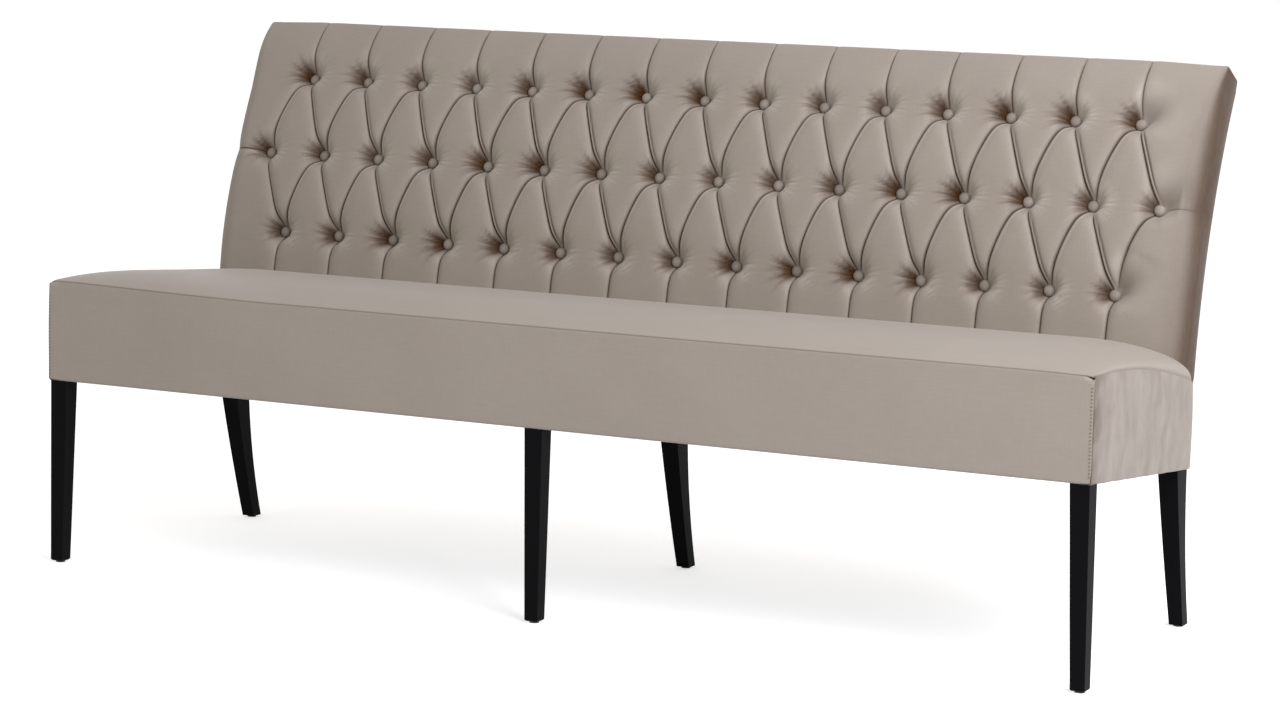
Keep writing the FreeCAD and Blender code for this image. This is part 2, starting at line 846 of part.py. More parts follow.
save("outside_back_cover", outside_back_cover())
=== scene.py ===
# %% [markdown]
# # A dining bench with a deep-buttoned back
# This lesson dresses a bench in velvet. The frame brings the legs, rails and fittings at their
# true size as plain solids; the padded cloth over them is ours to model, one piece at a time.
# First we load the frame and remember the box it fills.

import json
import math

import bmesh
import bpy
import numpy as np
from mathutils import Matrix, Vector


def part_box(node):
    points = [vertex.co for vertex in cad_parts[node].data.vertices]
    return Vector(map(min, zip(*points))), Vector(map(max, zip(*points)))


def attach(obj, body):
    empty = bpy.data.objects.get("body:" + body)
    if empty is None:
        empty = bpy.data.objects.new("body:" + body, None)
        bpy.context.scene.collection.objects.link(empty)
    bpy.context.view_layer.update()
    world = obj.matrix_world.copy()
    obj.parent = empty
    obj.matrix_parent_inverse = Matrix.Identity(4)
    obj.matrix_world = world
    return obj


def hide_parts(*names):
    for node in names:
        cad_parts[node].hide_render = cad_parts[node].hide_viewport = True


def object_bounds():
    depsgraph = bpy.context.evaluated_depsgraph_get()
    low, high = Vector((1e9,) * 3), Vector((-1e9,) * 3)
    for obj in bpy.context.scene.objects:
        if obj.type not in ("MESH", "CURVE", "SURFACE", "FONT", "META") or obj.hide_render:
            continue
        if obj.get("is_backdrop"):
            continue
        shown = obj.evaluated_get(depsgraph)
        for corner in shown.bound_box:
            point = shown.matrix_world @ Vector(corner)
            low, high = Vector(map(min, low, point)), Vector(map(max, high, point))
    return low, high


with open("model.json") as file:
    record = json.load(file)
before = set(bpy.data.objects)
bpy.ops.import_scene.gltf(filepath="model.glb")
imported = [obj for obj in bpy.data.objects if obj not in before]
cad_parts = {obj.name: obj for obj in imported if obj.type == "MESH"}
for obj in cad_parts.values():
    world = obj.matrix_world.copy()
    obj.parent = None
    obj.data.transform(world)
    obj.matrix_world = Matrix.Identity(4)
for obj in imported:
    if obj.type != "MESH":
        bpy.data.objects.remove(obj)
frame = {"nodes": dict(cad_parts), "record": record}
nodes = frame["nodes"]
cad_low, cad_high = (np.array(corner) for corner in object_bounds())
front_y = cad_low[1]
print("frame nodes:", len(nodes), "box:", np.round(cad_high - cad_low, 3))

# %% [markdown]
# ## Cloth as grids of points
# The cover of a bench is cut from flat cloth and bent over padding, so rows and columns of points
# describe it well. A plane could be subdivided and pulled into shape by hand, but a grid lets us
# work out every point from a rule. Points that fall on each other are welded, so neighbouring
# patches shade as one cloth. A bell curve serves for all that fades out over a distance.

# %% Mesh helpers
def make_piece(name, patches, painted=None, weld=0.00002):
    """One mesh object from patches, each a rows x columns x 3 array of points."""
    points = np.concatenate([patch.reshape(-1, 3) for patch in patches])
    faces = []
    start = 0
    for patch in patches:
        rows, columns = patch.shape[:2]
        index = start + np.arange(rows * columns).reshape(rows, columns)
        quads = np.stack([index[:-1, :-1], index[:-1, 1:], index[1:, 1:], index[1:, :-1]], axis=-1)
        faces.append(quads.reshape(-1, 4))
        start += rows * columns
    mesh = bpy.data.meshes.new(name)
    mesh.from_pydata(points.tolist(), [], np.concatenate(faces).tolist())
    for title, grids in (painted or {}).items():
        layer = mesh.attributes.new(title, "FLOAT", "POINT")
        values = np.concatenate([grid.ravel() for grid in grids])
        layer.data.foreach_set("value", values.astype(np.float32))
    work = bmesh.new()
    work.from_mesh(mesh)
    bmesh.ops.remove_doubles(work, verts=work.verts, dist=weld)
    bmesh.ops.dissolve_degenerate(work, edges=work.edges, dist=weld)
    work.to_mesh(mesh)
    work.free()
    mesh.shade_smooth()
    piece = bpy.data.objects.new(name, mesh)
    bpy.context.scene.collection.objects.link(piece)
    return piece


def place(across, depth, height):
    """Stack the three directions of the bench into points of the frame."""
    across, depth, height = np.broadcast_arrays(across, depth, height)
    return np.stack([across, depth + front_y, height], axis=-1)


def close_ends(length, fine, coarse, edge):
    """Places along a length that lie close together near both ends."""
    near = np.arange(0, edge, fine)
    middle = np.linspace(edge, length - edge, max(2, int((length - 2 * edge) / coarse)))
    return np.concatenate([near, middle, length - near[::-1]])


def bell(distance, middle, width):
    """One at the middle distance, fading to nothing over a width on both sides."""
    return np.exp(-((distance - middle) / width) ** 2)


print("front of the seat, middle of the floor:", np.round(place(0.0, 0.0, 0.0), 3))

# %% [markdown]
# ## The line of the back
# The back is padded over a bent board, so from the side it is one big arc that ends in a tighter
# roll at the top. It could be drawn as a curve object. Here a pen walks up the face instead:
# along the arc, over the roll, round the top edge, across the top and a little way down behind.
# It notes where it is and which way the cloth faces, and every point of the pad is found later
# from its place on this line. Sizes are in metres; depth is measured from the front of the seat.

# %% Walk up the back
back_radius = 1.200
back_thickness = 0.078
lean = math.radians(8.5)
face_depth = 0.471
face_height = 0.472
pad_foot_height = 0.425
top_height = 0.920
top_setback = 0.020
top_edge_radius = 0.006
roll_share = 0.1702
edge_trim = 0.004
behind_length = 0.012

axis_depth = face_depth + back_radius * math.cos(lean)
axis_height = face_height - back_radius * math.sin(lean)
foot_angle = math.asin((pad_foot_height - axis_height) / back_radius)
top_angle = math.asin((top_height - axis_height) / (back_radius - top_setback))
back_sweep = top_angle - lean
roll_start = top_angle - roll_share * back_sweep


def on_face(layer, angle):
    """Depth and height of a point in the back, layer metres behind its face."""
    reach = back_radius - layer
    return np.array([axis_depth - reach * np.cos(angle), axis_height + reach * np.sin(angle)])


def walk(start, facing, legs, grain=0.0005):
    """Follow legs of (length, bend) and return distance, depth, height and facing."""
    track = [[0.0, start[0], start[1], facing]]
    for length, bend in legs:
        count = max(2, math.ceil(length / grain))
        step = length / count
        for _ in range(count):
            gone, depth, height, angle = track[-1]
            middle = angle + bend * step / 2
            depth += math.sin(middle) * step
            height += math.cos(middle) * step
            track.append([gone + step, depth, height, angle + bend * step])
    return np.array(track).T


chord = on_face(top_setback, top_angle) - on_face(0.0, roll_start)
half_turn = math.atan2(chord[0], chord[1]) - roll_start
roll_radius = math.hypot(*chord) / (2 * math.sin(half_turn))
edge_facing = roll_start + 2 * half_turn
top_facing = top_angle + math.pi / 2
face_length = back_radius * (roll_start - foot_angle)
roll_length = roll_radius * 2 * half_turn - edge_trim
edge_length = top_edge_radius * (top_facing - edge_facing)
top_length = back_thickness - top_setback - 2 * top_edge_radius
line_gone, line_depth, line_height, line_facing = walk(on_face(0.0, foot_angle), foot_angle, [
    (face_length, 1 / back_radius),
    (roll_length, 1 / roll_radius),
    (edge_length, 1 / top_edge_radius),
    (top_length, 0.0),
    (top_edge_radius * math.pi / 2, 1 / top_edge_radius),
    (behind_length, 0.0)])
top_edge = face_length + roll_length
line_end = line_gone[-1]
print("line of the back:", round(line_end, 3), "m, highest", round(line_height.max(), 4))

# %% [markdown]
# ## Where the buttons sit
# Three rows of covered buttons stand in a diamond pattern: sixteen in the middle row and fifteen,
# half a step aside, above and below. An Array modifier could space them, but the pleats need to
# know every button, so we keep their places as numbers: how far across and how far up the line.

# %% Button places
button_pitch = 0.1136
middle_buttons = 16
middle_row_share = 0.465
row_pitch_share = 0.3007

row_pitch = row_pitch_share * back_sweep * back_radius
middle_row = back_radius * (lean - foot_angle + middle_row_share * back_sweep)
low_row = middle_row - row_pitch
high_row = middle_row + row_pitch
middle_x = (np.arange(middle_buttons) - (middle_buttons - 1) / 2) * button_pitch
outer_x = (middle_x[:-1] + middle_x[1:]) / 2
button_rows = ((outer_x, low_row), (middle_x, middle_row), (outer_x, high_row))
button_spots = np.array([(x, row) for places, row in button_rows for x in places])
print("buttons:", len(button_spots), "rows at", np.round([low_row, middle_row, high_row], 3))

# %% [markdown]
# ## Edges of the back
# The cover runs from the face round the sides of the back. The rounding is soft low down, where
# the padding is thick, and tight at the folded top corners, which differ a little from left to
# right. The sides swell below the end pleat and have a small nick at it. A bevel would round all
# edges alike, so the radius is a rule of its own here.

# %% Side edges and the place of a point
back_half = 0.925
side_radius = 0.034
top_left_radius = 0.012
top_right_radius = 0.005
rear_side_radius = 0.0015
tightening_length = 0.06
side_swell = 0.004
nick_depth = 0.003
nick_width = 0.02
drop_length = 0.02


def corner_radius(along, side):
    """Radius of a side edge of the back: soft below, tight at the folded top corners."""
    rear_edge = top_edge + edge_length + top_length
    tight = top_right_radius if side > 0 else top_left_radius
    stations = [face_length - tightening_length, top_edge, rear_edge]
    return np.interp(along, stations, [side_radius, tight, rear_side_radius])


def on_pad(across, along, inward, turn, side_share):
    """Points of the pad from the distance across, the distance up and the depth inward."""
    depth = np.interp(along, line_gone, line_depth)
    height = np.interp(along, line_gone, line_height)
    facing = np.interp(along, line_gone, line_facing)
    radius = corner_radius(along, across.mean())
    layer = np.where(turn > 0, radius - (radius - inward) * np.cos(turn), inward)
    below_pleat = np.clip((middle_row - along) / middle_row, 0, 1)
    bulge = side_swell * np.sin(math.pi * below_pleat) - nick_depth * bell(along, middle_row, nick_width)
    x = np.abs(across) + (radius - inward + bulge * (1 - side_share)) * np.sin(turn)
    depth = depth + layer * np.cos(facing)
    height = height - layer * np.sin(facing)
    climb = np.interp(along, [0, face_length, top_edge], [foot_angle, roll_start, top_angle])
    drop = np.interp(along, [top_edge - drop_length, top_edge], [0.0, top_edge_radius])
    reach = back_radius - back_thickness + drop
    rear_depth = axis_depth - reach * np.cos(climb) - drop * np.sin(top_angle)
    rear_height = axis_height + reach * np.sin(climb) - drop * np.cos(top_angle)
    depth = depth + side_share * (rear_depth - depth)
    height = height + side_share * (rear_height - height)
    return place(np.sign(across) * x, depth, height)


print("side radius at the end pleat and at the top:", corner_radius(np.array([middle_row, top_edge]), 1))

# %% [markdown]
# ## Where the pleats run
# Between the buttons the cloth is folded into pleats. Those that run down to the left hang in a
# bow, the others are straight. Sixty folds drawn by hand would hardly be even, so a pleat is a
# short row of spots from one button to the next, and we measure how far a point lies from it.

# %% Pleat lines
pleat_bow = 0.010
bow_lag = 0.7


def pleat_line(top, bottom, count=14):
    """Spots along a pleat from an upper to a lower button; those to the left are bowed."""
    share = np.linspace(0, 1, count)
    bow = pleat_bow if bottom[0] < top[0] else 0.0
    across = top[0] + (bottom[0] - top[0]) * share - bow * np.sin(math.pi * share ** bow_lag)
    return np.stack([across, top[1] + (bottom[1] - top[1]) * share], axis=1)


def reach_from(across, along, pleat):
    """Distance of points from a pleat given as a row of spots."""
    best = np.full(across.shape, np.inf)
    for (ax, at), (bx, bt) in zip(pleat[:-1], pleat[1:]):
        dx, dt = bx - ax, bt - at
        share = ((across - ax) * dx + (along - at) * dt) / (dx * dx + dt * dt)
        share = np.clip(share, 0, 1)
        best = np.minimum(best, np.hypot(across - ax - share * dx, along - at - share * dt))
    return best


slanted = pleat_line((outer_x[0], high_row), (middle_x[0], middle_row))
print("a bowed pleat, m:", round(np.hypot(*np.diff(slanted, axis=0).T).sum(), 4))

# %% [markdown]
# ## What a pleat does to the cloth
# A pleat pulls the cloth in, and a dark line of painted shade runs along its crease. The straight
# ones are shallow near their upper button, and some show a second fold beside the first. Sculpting
# could do this too, but here the distance from the pleat decides how far the cloth has risen and
# how much shade or light is painted there. That painted shading is a number stored on the mesh: 0
# is pale cloth, 1 is full painted shade in dark taupe, and less than 0 is painted light, paler than
# the cloth. A small share of it, the same all over the pad, only sets the tone of the cloth. A whim,
# the same at each run, keeps the pleats from being all alike.

# %% Pull and lines of a pleat
pillow_width = 0.028
pillow_roundness = 2.7
top_bend = top_edge - 0.01
fade_length, end_fade_length = 0.05, 0.02
up_pull = [0.9, 0.5, 0.12, 0.03]
down_pull = [0.5, 0.6, 0.9]
end_pull = [0.8, 0.45, 0.3]
straight_pull = ([0.05, 0.3], [0.5, 0.9])
# Painted shade along the crease of each pleat and of a second fold, and painted highlights on a ridge and
# beside bowed pleats.
line_darkness, line_gain, line_variety = 0.8, 5, 0.2
line_stations = [0.08, 0.25, 0.5]
bowed_line, bowed_line_width = [1.0, 1.0, 0.9], 0.0020
straight_line, straight_line_width = [0.1, 0.5, 1.0], 0.0014
light_edge_ring = (0.0058, 0.0021)
second_ring = (0.0062, 0.0015)
ridge_ring = (0.0036, 0.0014)
second_fade, second_mean, second_variety = 0.25, 0.62, 0.38
pleat_strides = (61, 23)


def whim(across, along, across_stride, along_stride, start=0.0):
    """A number between -1 and 1 that changes from place to place."""
    return np.sin(across * across_stride + along * along_stride + start)


def pleat_strength(across, along, kind):
    """How hard a pleat is pulled in: full between buttons, fading towards the edges."""
    if kind == "up":
        stations = [high_row, high_row + fade_length, top_bend, line_end]
        return np.interp(along, stations, up_pull)
    if kind == "down":
        return np.interp(along, [0.0, low_row - fade_length, low_row], down_pull)
    if kind == "end":
        stations = [middle_x[-1], middle_x[-1] + end_fade_length, back_half - side_radius]
        return np.interp(np.abs(across), stations, end_pull)
    return np.ones(across.shape)


def pleat_effects(across, along, pleats):
    """Rise of the cloth between its pleats, with painted shade along its line and second fold and painted
    highlights on its ridge and light edge.
    """
    rise = np.ones(across.shape)
    line, second, ridge, light_edge = (np.zeros(across.shape) for _ in range(4))
    for pleat, kind in pleats:
        reach = reach_from(across, along, pleat)
        strength = pleat_strength(across, along, kind)
        bowed = pleat[-1, 0] < pleat[0, 0]
        darkness = line_darkness * np.minimum(1, strength * line_gain)
        if kind in ("double", "fold"):
            from_top = (pleat[0, 1] - along) / row_pitch
            darkness = darkness * np.interp(from_top, line_stations, bowed_line if bowed else straight_line)
            strength = strength if bowed else np.interp(from_top, *straight_pull)
        share = np.clip(reach / pillow_width, 0, 1)
        slope = (1 - (1 - share) ** pillow_roundness) ** (1 / pillow_roundness)
        rise = rise * (1 - strength * (1 - slope))
        habit = whim(*pleat[0], *pleat_strides)
        line_width = (bowed_line_width if bowed else straight_line_width) * (1 + line_variety * habit)
        # Painted shade along the crease of the pleat.
        line = np.maximum(line, darkness * bell(reach, 0, line_width))
        # Painted highlight beside a bowed pleat, on its lower right.
        if bowed:
            beyond = across > np.interp(along, pleat[::-1, 1], pleat[::-1, 0])
            light_edge = light_edge + beyond * bell(reach, *light_edge_ring)
        # A second fold and a ridge shape the cloth; the fold also carries painted shade, the ridge a painted
        # highlight.
        if kind == "double":
            from_ends = np.minimum(np.abs(along - pleat[0, 1]), np.abs(along - pleat[-1, 1])) / row_pitch
            weight = np.clip(from_ends / second_fade, 0, 1) * (second_mean + second_variety * habit)
            second = second + weight * bell(reach, *second_ring)
            ridge = ridge + weight * bell(reach, *ridge_ring)
    return rise, line, second, ridge, light_edge


strengths = pleat_strength(np.zeros(2), np.array([high_row, line_end]), "up")
print("an upright pleat at its button and at the top edge:", strengths)

# %% [markdown]
# ## Dimples
# A twine pulls every button into the padding, so the cloth falls into a dimple: flat under the
# button, steep beside it and gentler on its upper right. A brush in Sculpt mode could press them
# in one by one. A rule on the distance from the nearest button gives all 46 the same depth, so
# that each button finds its seat.

# %% Dimples
groove_depth = 0.0085
dimple_depth = 0.029
dimple_flat = 0.0095
dimple_reach = 0.020
pull_reach, pull_edge = 0.011, 1.3
gentle_side = math.radians(40)
gentle_share, gentle_share_at_end = 0.42, 0.72
end_margin = 0.001


def nearest_button(across, along):
    """Distance and direction of points from the button nearest to them, and its place."""
    best = np.full(across.shape, np.inf)
    off_x = np.zeros(across.shape)
    off_t = np.zeros(across.shape)
    for x, t in button_spots:
        gap = np.hypot(across - x, along - t)
        closer = gap < best
        best = np.where(closer, gap, best)
        off_x = np.where(closer, across - x, off_x)
        off_t = np.where(closer, along - t, off_t)
    return best, np.arctan2(off_t, off_x), across - off_x, along - off_t


def at_right_end(button_x):
    """Whether a button is the last of its row on the right."""
    return button_x > outer_x[-1] - end_margin


def dimple(gap, turn, button_x):
    """How far a button pulls the cloth in and how deep it lies there."""
    to_right = np.clip(np.cos(turn - gentle_side), 0, 1)
    gentle = np.where(at_right_end(button_x), gentle_share_at_end, gentle_share)
    outside = np.maximum(gap - dimple_flat, 0) * (1 - gentle * to_right)
    pull = np.exp(-(outside / pull_reach) ** pull_edge)
    return pull, groove_depth + (dimple_depth - groove_depth) * bell(outside, 0, dimple_reach)


gaps = np.array([0.0, 0.02, 0.04])
pulls = dimple(gaps, np.full(3, math.pi), np.zeros(3))[0]
print("pull of a button at 0, 20 and 40 mm:", np.round(pulls, 3))

# %% [markdown]
# ## Painted shade and light round a button
# Left of a button a dark, feathered fan of painted shade is put on the cloth. To its right painted
# light lifts the shade of the dimple and streaks of painted highlight run out; up and to the right
# more painted light lifts the shade there, most at the buttons of the right end. Vertex Paint could
# brush in 46 fans one after the other. Here each fan and each light is a sector of directions times
# a ring of distances, and sines of the direction, set off by two whims of the button, give every
# fan feathers of its own.

# %% Painted shade and light round a button
own_strides, other_strides = (47, 31), (83, 57, 1)
# Shape of the fan of painted shade left of a button and of its feathers.
low_fan_middle, fan_middle = 180, 161
fan_edge, fan_sway, fan_variety = (2.2, 0.6), 0.14, 0.06
feather_length, feather_edge, feather_variety = 0.0275, 3.2, 0.12
broad_feathers, broad_shift, broad_depth = 13, 5, 0.12
fine_feathers, fine_shift, fine_depth = 29, 9, 0.10
# Painted light right of a button, streaks of painted highlight, and painted light up and to the right,
# widest at the buttons of the right end.
lit_sector, lit_ring, lit_weight = (15, 2.0, 0.4), (0.017, 0.019), 0.75
lit_folds, lit_shift, lit_mean, lit_depth = 19, 6, 0.8, 0.3
shine_sector, shine_ring, shine_weight = (-8, 3.2, 2.2), (0.030, 0.016), 0.24
shine_folds, shine_shift = 31, 5
upper_sector, upper_ring, upper_least = (40, 3, 1.6), (0.030, 0.014), 0.15
end_sector, end_ring, end_weight = (35, 2.2, 0.7), (0.034, 0.029), 0.70


def sector(turn, middle, sharpness, cut):
    """One round a middle direction given in degrees, fading to nothing beside it."""
    return np.clip(np.cos(turn - np.radians(middle)) * sharpness - cut, 0, 1)


def painted_shade_fan(gap, turn, own, other, in_low_row):
    """The feathered fan of painted shade left of a button."""
    middle = np.where(in_low_row, low_fan_middle, fan_middle)
    broad = broad_depth * np.sin(broad_feathers * turn + broad_shift * own)
    fine = fine_depth * np.sin(fine_feathers * turn + fine_shift * other)
    feather = feather_length * (1 + feather_variety * own) * (1 + broad + fine)
    fan = sector(turn - fan_sway * other, middle, *fan_edge) * np.exp(-(gap / feather) ** feather_edge)
    return (1 + fan_variety * own) * fan


def button_painted_shading(across, gap, turn, button_x, button_t):
    """The fan of painted shade left of a button, and painted light and painted highlights on its right."""
    own = whim(button_x, button_t, *own_strides)
    other = whim(button_x, button_t, *other_strides)
    fan = painted_shade_fan(gap, turn, own, other, button_t < (low_row + middle_row) / 2)
    # Painted light right of the button, lifting the shade of the dimple.
    lit_here = lit_mean + lit_depth * np.sin(lit_folds * turn + lit_shift * other)
    lit = sector(turn, *lit_sector) * bell(gap, *lit_ring) * lit_here
    # Streaks of painted highlight right of the button.
    shine_here = np.sin(shine_folds * turn + shine_shift * own)
    shine = sector(turn, *shine_sector) * bell(gap, *shine_ring) * shine_here
    # Painted light up and to the right, stronger towards the right end; at the last button of each row a
    # wider pool of it.
    upper_here = upper_least + np.clip(across / back_half - 0.5, 0, 1)
    upper = sector(turn, *upper_sector) * bell(gap, *upper_ring) * upper_here
    end_light = end_weight * sector(turn, *end_sector) * bell(gap, *end_ring)
    upper = np.where(at_right_end(button_x), end_light, upper)
    return fan, lit_weight * lit + shine_weight * shine + upper


left_and_right = np.array([math.pi, 0.0])
fan_there, light_there = button_painted_shading(np.zeros(2), np.full(2, 0.015), left_and_right, np.zeros(2), np.zeros(2))
print("nap 15 mm left and right of a button:", np.round(fan_there - light_there, 2))

# %% [markdown]
# ## Pillows between the pleats
# Each diamond and each tall field of the pad is a pillow of its own, filled with wadding. Cloth
# simulation with pinned buttons could blow it up, but its folds would fall where they like. Here
# its depth brings pleats and dimples together: steep beside a pleat, flat on the crown, sunk in
# near a button, with fine folds that run out from the button like spokes.

# %% Shape of one pillow
crown = 0.003
crown_fade, crown_start = 0.09, 0.3
spoke_height, spoke_ring = 0.0002, (0.022, 0.009)
wide_spokes, wide_drift = 11, 40
thin_spokes, thin_drift, thin_share = 17, 90, 0.6
# A second fold sinks the cloth and gets painted shade; a ridge lifts it and gets a painted highlight, as
# does the light edge beside bowed pleats.
second_depth, second_dark = 0.0022, 0.85
ridge_height, ridge_light = 0.0012, 0.42
light_edge_weight = 0.5
resting_tone = 0.125


def pillow_shape(across, along, pleats):
    """Depth of the cloth below the face, and its tone with painted shade and light, for points of one
    pillow.
    """
    rise, line, second, ridge, light_edge = pleat_effects(across, along, pleats)
    gap, turn, button_x, button_t = nearest_button(across, along)
    pull, deep = dimple(gap, turn, button_x)
    rise = rise * (1 - pull)
    thin = thin_share * np.sin(thin_spokes * turn + thin_drift * along)
    spokes = np.sin(wide_spokes * turn + wide_drift * across) + thin
    ripple = spoke_height * spokes * bell(gap, *spoke_ring)
    crown_here = crown * np.clip((back_half - np.abs(across)) / crown_fade - crown_start, 0, 1)
    inward = deep * (1 - rise) - crown_here * rise + ripple + second_depth * second - ridge_height * ridge
    fan, light = button_painted_shading(across, gap, turn, button_x, button_t)
    # Painted shade from fans, pleat lines and second folds, less painted highlights and painted light, on
    # the resting tone of the cloth.
    dark = np.maximum(np.maximum(fan, line), second_dark * second)
    return inward, dark - ridge_light * ridge - light_edge_weight * light_edge - light + resting_tone


on_and_beside = np.array([0.0, button_pitch / 2])
depth_there, shading_there = pillow_shape(on_and_beside, on_and_beside * 0 + high_row, [])
print("on a button and midway to the next, depth:", np.round(depth_there, 4), "nap:", np.round(shading_there, 2))

# %% [markdown]
# ## Lay out the pad
# The pad is planned patch by patch. A diamond starts as a point at its lower button, widens to
# the middle row and closes again at its upper button; the fields above and below do the same
# from the other side. One even grid over the whole back would be simpler, but then no edge of the
# mesh would follow a pleat. Rows lie closer together near the buttons, where the cloth bends most.

# %% Patches of the pad
foot_rows, diamond_rows, top_rows, over_rows, field_columns = 28, 40, 30, 30, 24
mend_edge = 4
plans = []
tone_and_painted_shading_grids = []


def eased(start, end, count):
    """Places between two rows, close together near both."""
    return start + (end - start) * (1 - np.cos(np.linspace(0, math.pi, count + 1))) / 2


rows_low = eased(low_row, middle_row, diamond_rows)
rows_high = eased(middle_row, high_row, diamond_rows)
rows_top = np.linspace(high_row, top_bend, top_rows)[1:]
rows_over = np.linspace(top_bend, line_end, over_rows)[1:]
column_share = eased(0.0, 1.0, field_columns)
above = np.concatenate([rows_high, rows_top, rows_over])
below = np.concatenate([np.linspace(0.0, low_row, foot_rows)[:-1], rows_low])
between = np.concatenate([rows_low[:-1], rows_high])


def border_line(rows, lower, upper):
    """Where a border runs along the rows: a lower pleat, an upper pleat, straight beyond them."""
    spots = np.concatenate([lower[::-1], upper[::-1]])
    order = np.argsort(spots[:, 1], kind="stable")
    return np.interp(rows, spots[order, 1], spots[order, 0])


def field(rows, left, right, pleats):
    """One patch between a left and a right border, each given along the rows."""
    across = left[:, None] + (right - left)[:, None] * column_share[None, :]
    along = np.repeat(rows[:, None], across.shape[1], axis=1)
    inward, tone_and_painted_shading = pillow_shape(across, along, pleats)
    tone_and_painted_shading_grids.append(tone_and_painted_shading)
    from_right = column_share[None, :]
    sides = [(np.s_[:, 0], (1 - from_right) ** mend_edge), (np.s_[:, -1], from_right ** mend_edge)]
    plans.append((across, along, inward, np.zeros(across.shape), 0.0, sides, 1))


print("rows above, below and between:", len(above), len(below), len(between))

# %% [markdown]
# ## Round the sides of the back
# The four fields at the ends run on over the rounded edge and along the side to the rear, where
# the real cover is pulled smooth and stapled. The same patch carries on there with columns for
# the flat part, the rounding and the side; a separate strip would need a seam that the bench does
# not have. Painted shade darkens the cloth round the edge, sooner and more on the right than on
# the left, and all along the side.

# %% Corner fields
flat_columns, round_columns, side_columns = 33, 13, 9
end_mend_width = 0.012
# Painted shade round the side edges of the back, by the turn of the rounding on each side and by the share
# of the side.
edge_shade_turns = [0.0, 0.5, 1.0, 1.57]
right_edge_shade = [0.18, 0.48, 0.86, 0.97]
left_edge_shade = [0.05, 0.08, 0.15, 0.97]
side_stations = [0, 0.6, 1]
side_fade = [1.0, 0.97, 0.78]
edge_shade_width = 0.02


def corner_field(rows, border, sign, pleats):
    """A patch from a pleat round the side of the back."""
    inner = 1 - np.cos(np.linspace(0, math.pi / 2, flat_columns))
    flat_half = back_half - corner_radius(rows, sign)
    flat = border[:, None] + (sign * flat_half - border)[:, None] * inner[None, :]
    round_turns = np.linspace(0, math.pi / 2, round_columns)[1:]
    side_shares = np.linspace(0, 1, side_columns)[1:]
    around = len(round_turns) + len(side_shares)
    across = np.concatenate([flat, np.repeat((sign * flat_half)[:, None], around, axis=1)], axis=1)
    turn = np.concatenate([np.zeros(flat_columns), round_turns, np.full(len(side_shares), math.pi / 2)])
    share = np.concatenate([np.zeros(flat_columns + len(round_turns)), side_shares])
    along = np.repeat(rows[:, None], across.shape[1], axis=1)
    turn = np.tile(turn, (len(rows), 1))
    share = np.tile(share, (len(rows), 1))
    inward, tone_and_painted_shading = pillow_shape(across, along, pleats)
    inward = inward * np.cos(turn) ** 2
    # Painted shade round the rounded edge and along the side, and on the flat part next to the edge.
    edge_shades = right_edge_shade if sign > 0 else left_edge_shade
    edge_painted_shade = np.interp(turn, edge_shade_turns, edge_shades) * np.interp(share, side_stations, side_fade)
    edge_painted_shade = np.where(turn > 0, edge_painted_shade, 0.0)
    near_edge = edge_shades[0] * np.exp(-np.abs(np.abs(across) - flat_half[:, None]) / edge_shade_width)
    tone_and_painted_shading = np.maximum(tone_and_painted_shading * np.cos(turn), np.maximum(edge_painted_shade, near_edge))
    tone_and_painted_shading_grids.append(tone_and_painted_shading if sign > 0 else tone_and_painted_shading[:, ::-1])
    end_row = 0 if rows[-1] > high_row else -1
    near_pleat = np.append(1 - inner, np.zeros(around)) ** mend_edge
    near_end = bell(rows, middle_row, end_mend_width)
    sides = [(np.s_[:, 0], near_pleat[None, :]), (np.s_[end_row, :flat_columns], near_end[:, None])]
    plans.append((across, along, inward, turn, share, sides, sign))


print("columns of a corner field:", flat_columns + round_columns + side_columns - 2)

# %% [markdown]
# ## Diamonds, tall fields and corner fields
# Now every patch gets its place, its borders and the list of pleats that shape it: 15 diamonds,
# 14 tall fields above them and 14 below, and the 4 fields at the corners. Three loops do it all.

# %% Plan all patches
tall_fields = ((above, high_row, line_end, "up"), (below, low_row, 0.0, "down"))


def slanted_pleat(x, row, button):
    """The pleat between a button of an outer row and one of the middle row, top first."""
    return pleat_line(*sorted([(x, row), (button, middle_row)], key=lambda spot: -spot[1]))


for i, x in enumerate(outer_x):
    low, high = (x, low_row), (x, high_row)
    left, right = (middle_x[i], middle_row), (middle_x[i + 1], middle_row)
    low_left, low_right = pleat_line(left, low), pleat_line(right, low)
    high_left, high_right = pleat_line(high, left), pleat_line(high, right)
    field(
        between, border_line(between, low_left, high_left), border_line(between, low_right, high_right),
        [(low_left, "double"), (low_right, "fold"), (high_left, "fold"), (high_right, "fold")])

for left, right, button in zip(outer_x[:-1], outer_x[1:], middle_x[1:-1]):
    for rows, row, end, kind in tall_fields:
        pleats = []
        borders = []
        for x in (left, right):
            slanted = slanted_pleat(x, row, button)
            upright = np.array([(x, row), (x, end)])
            pleats += [(slanted, "double" if kind == "up" and x == left else "fold"), (upright, kind)]
            borders.append(border_line(rows, slanted, upright))
        field(rows, borders[0], borders[1], pleats)

for sign in (-1, 1):
    button, outer = sign * middle_x[-1], sign * outer_x[-1]
    end_pleat = (np.array([(button, middle_row), (sign * back_half, middle_row)]), "end")
    for rows, row, end, kind in tall_fields:
        slanted = slanted_pleat(outer, row, button)
        upright = np.array([(outer, row), (outer, end)])
        corner_field(
            rows, border_line(rows, slanted, upright), sign,
            [end_pleat, (slanted, "double" if kind == "up" and sign > 0 else "fold"), (upright, kind)])

print("patches of the pad:", len(plans))

# %% [markdown]
# ## Close the pleats
# Two patches that meet at a pleat have each worked out its depth from their own neighbours. We
# take the mean of the depths at each shared spot and let the difference die away inside the
# patch, so that the cloth runs through the pleat without a slit. A larger weld distance would
# close it too, but it would also swallow the fine rows near the buttons.

# %% Close the pleats
off_the_half = 0.000003


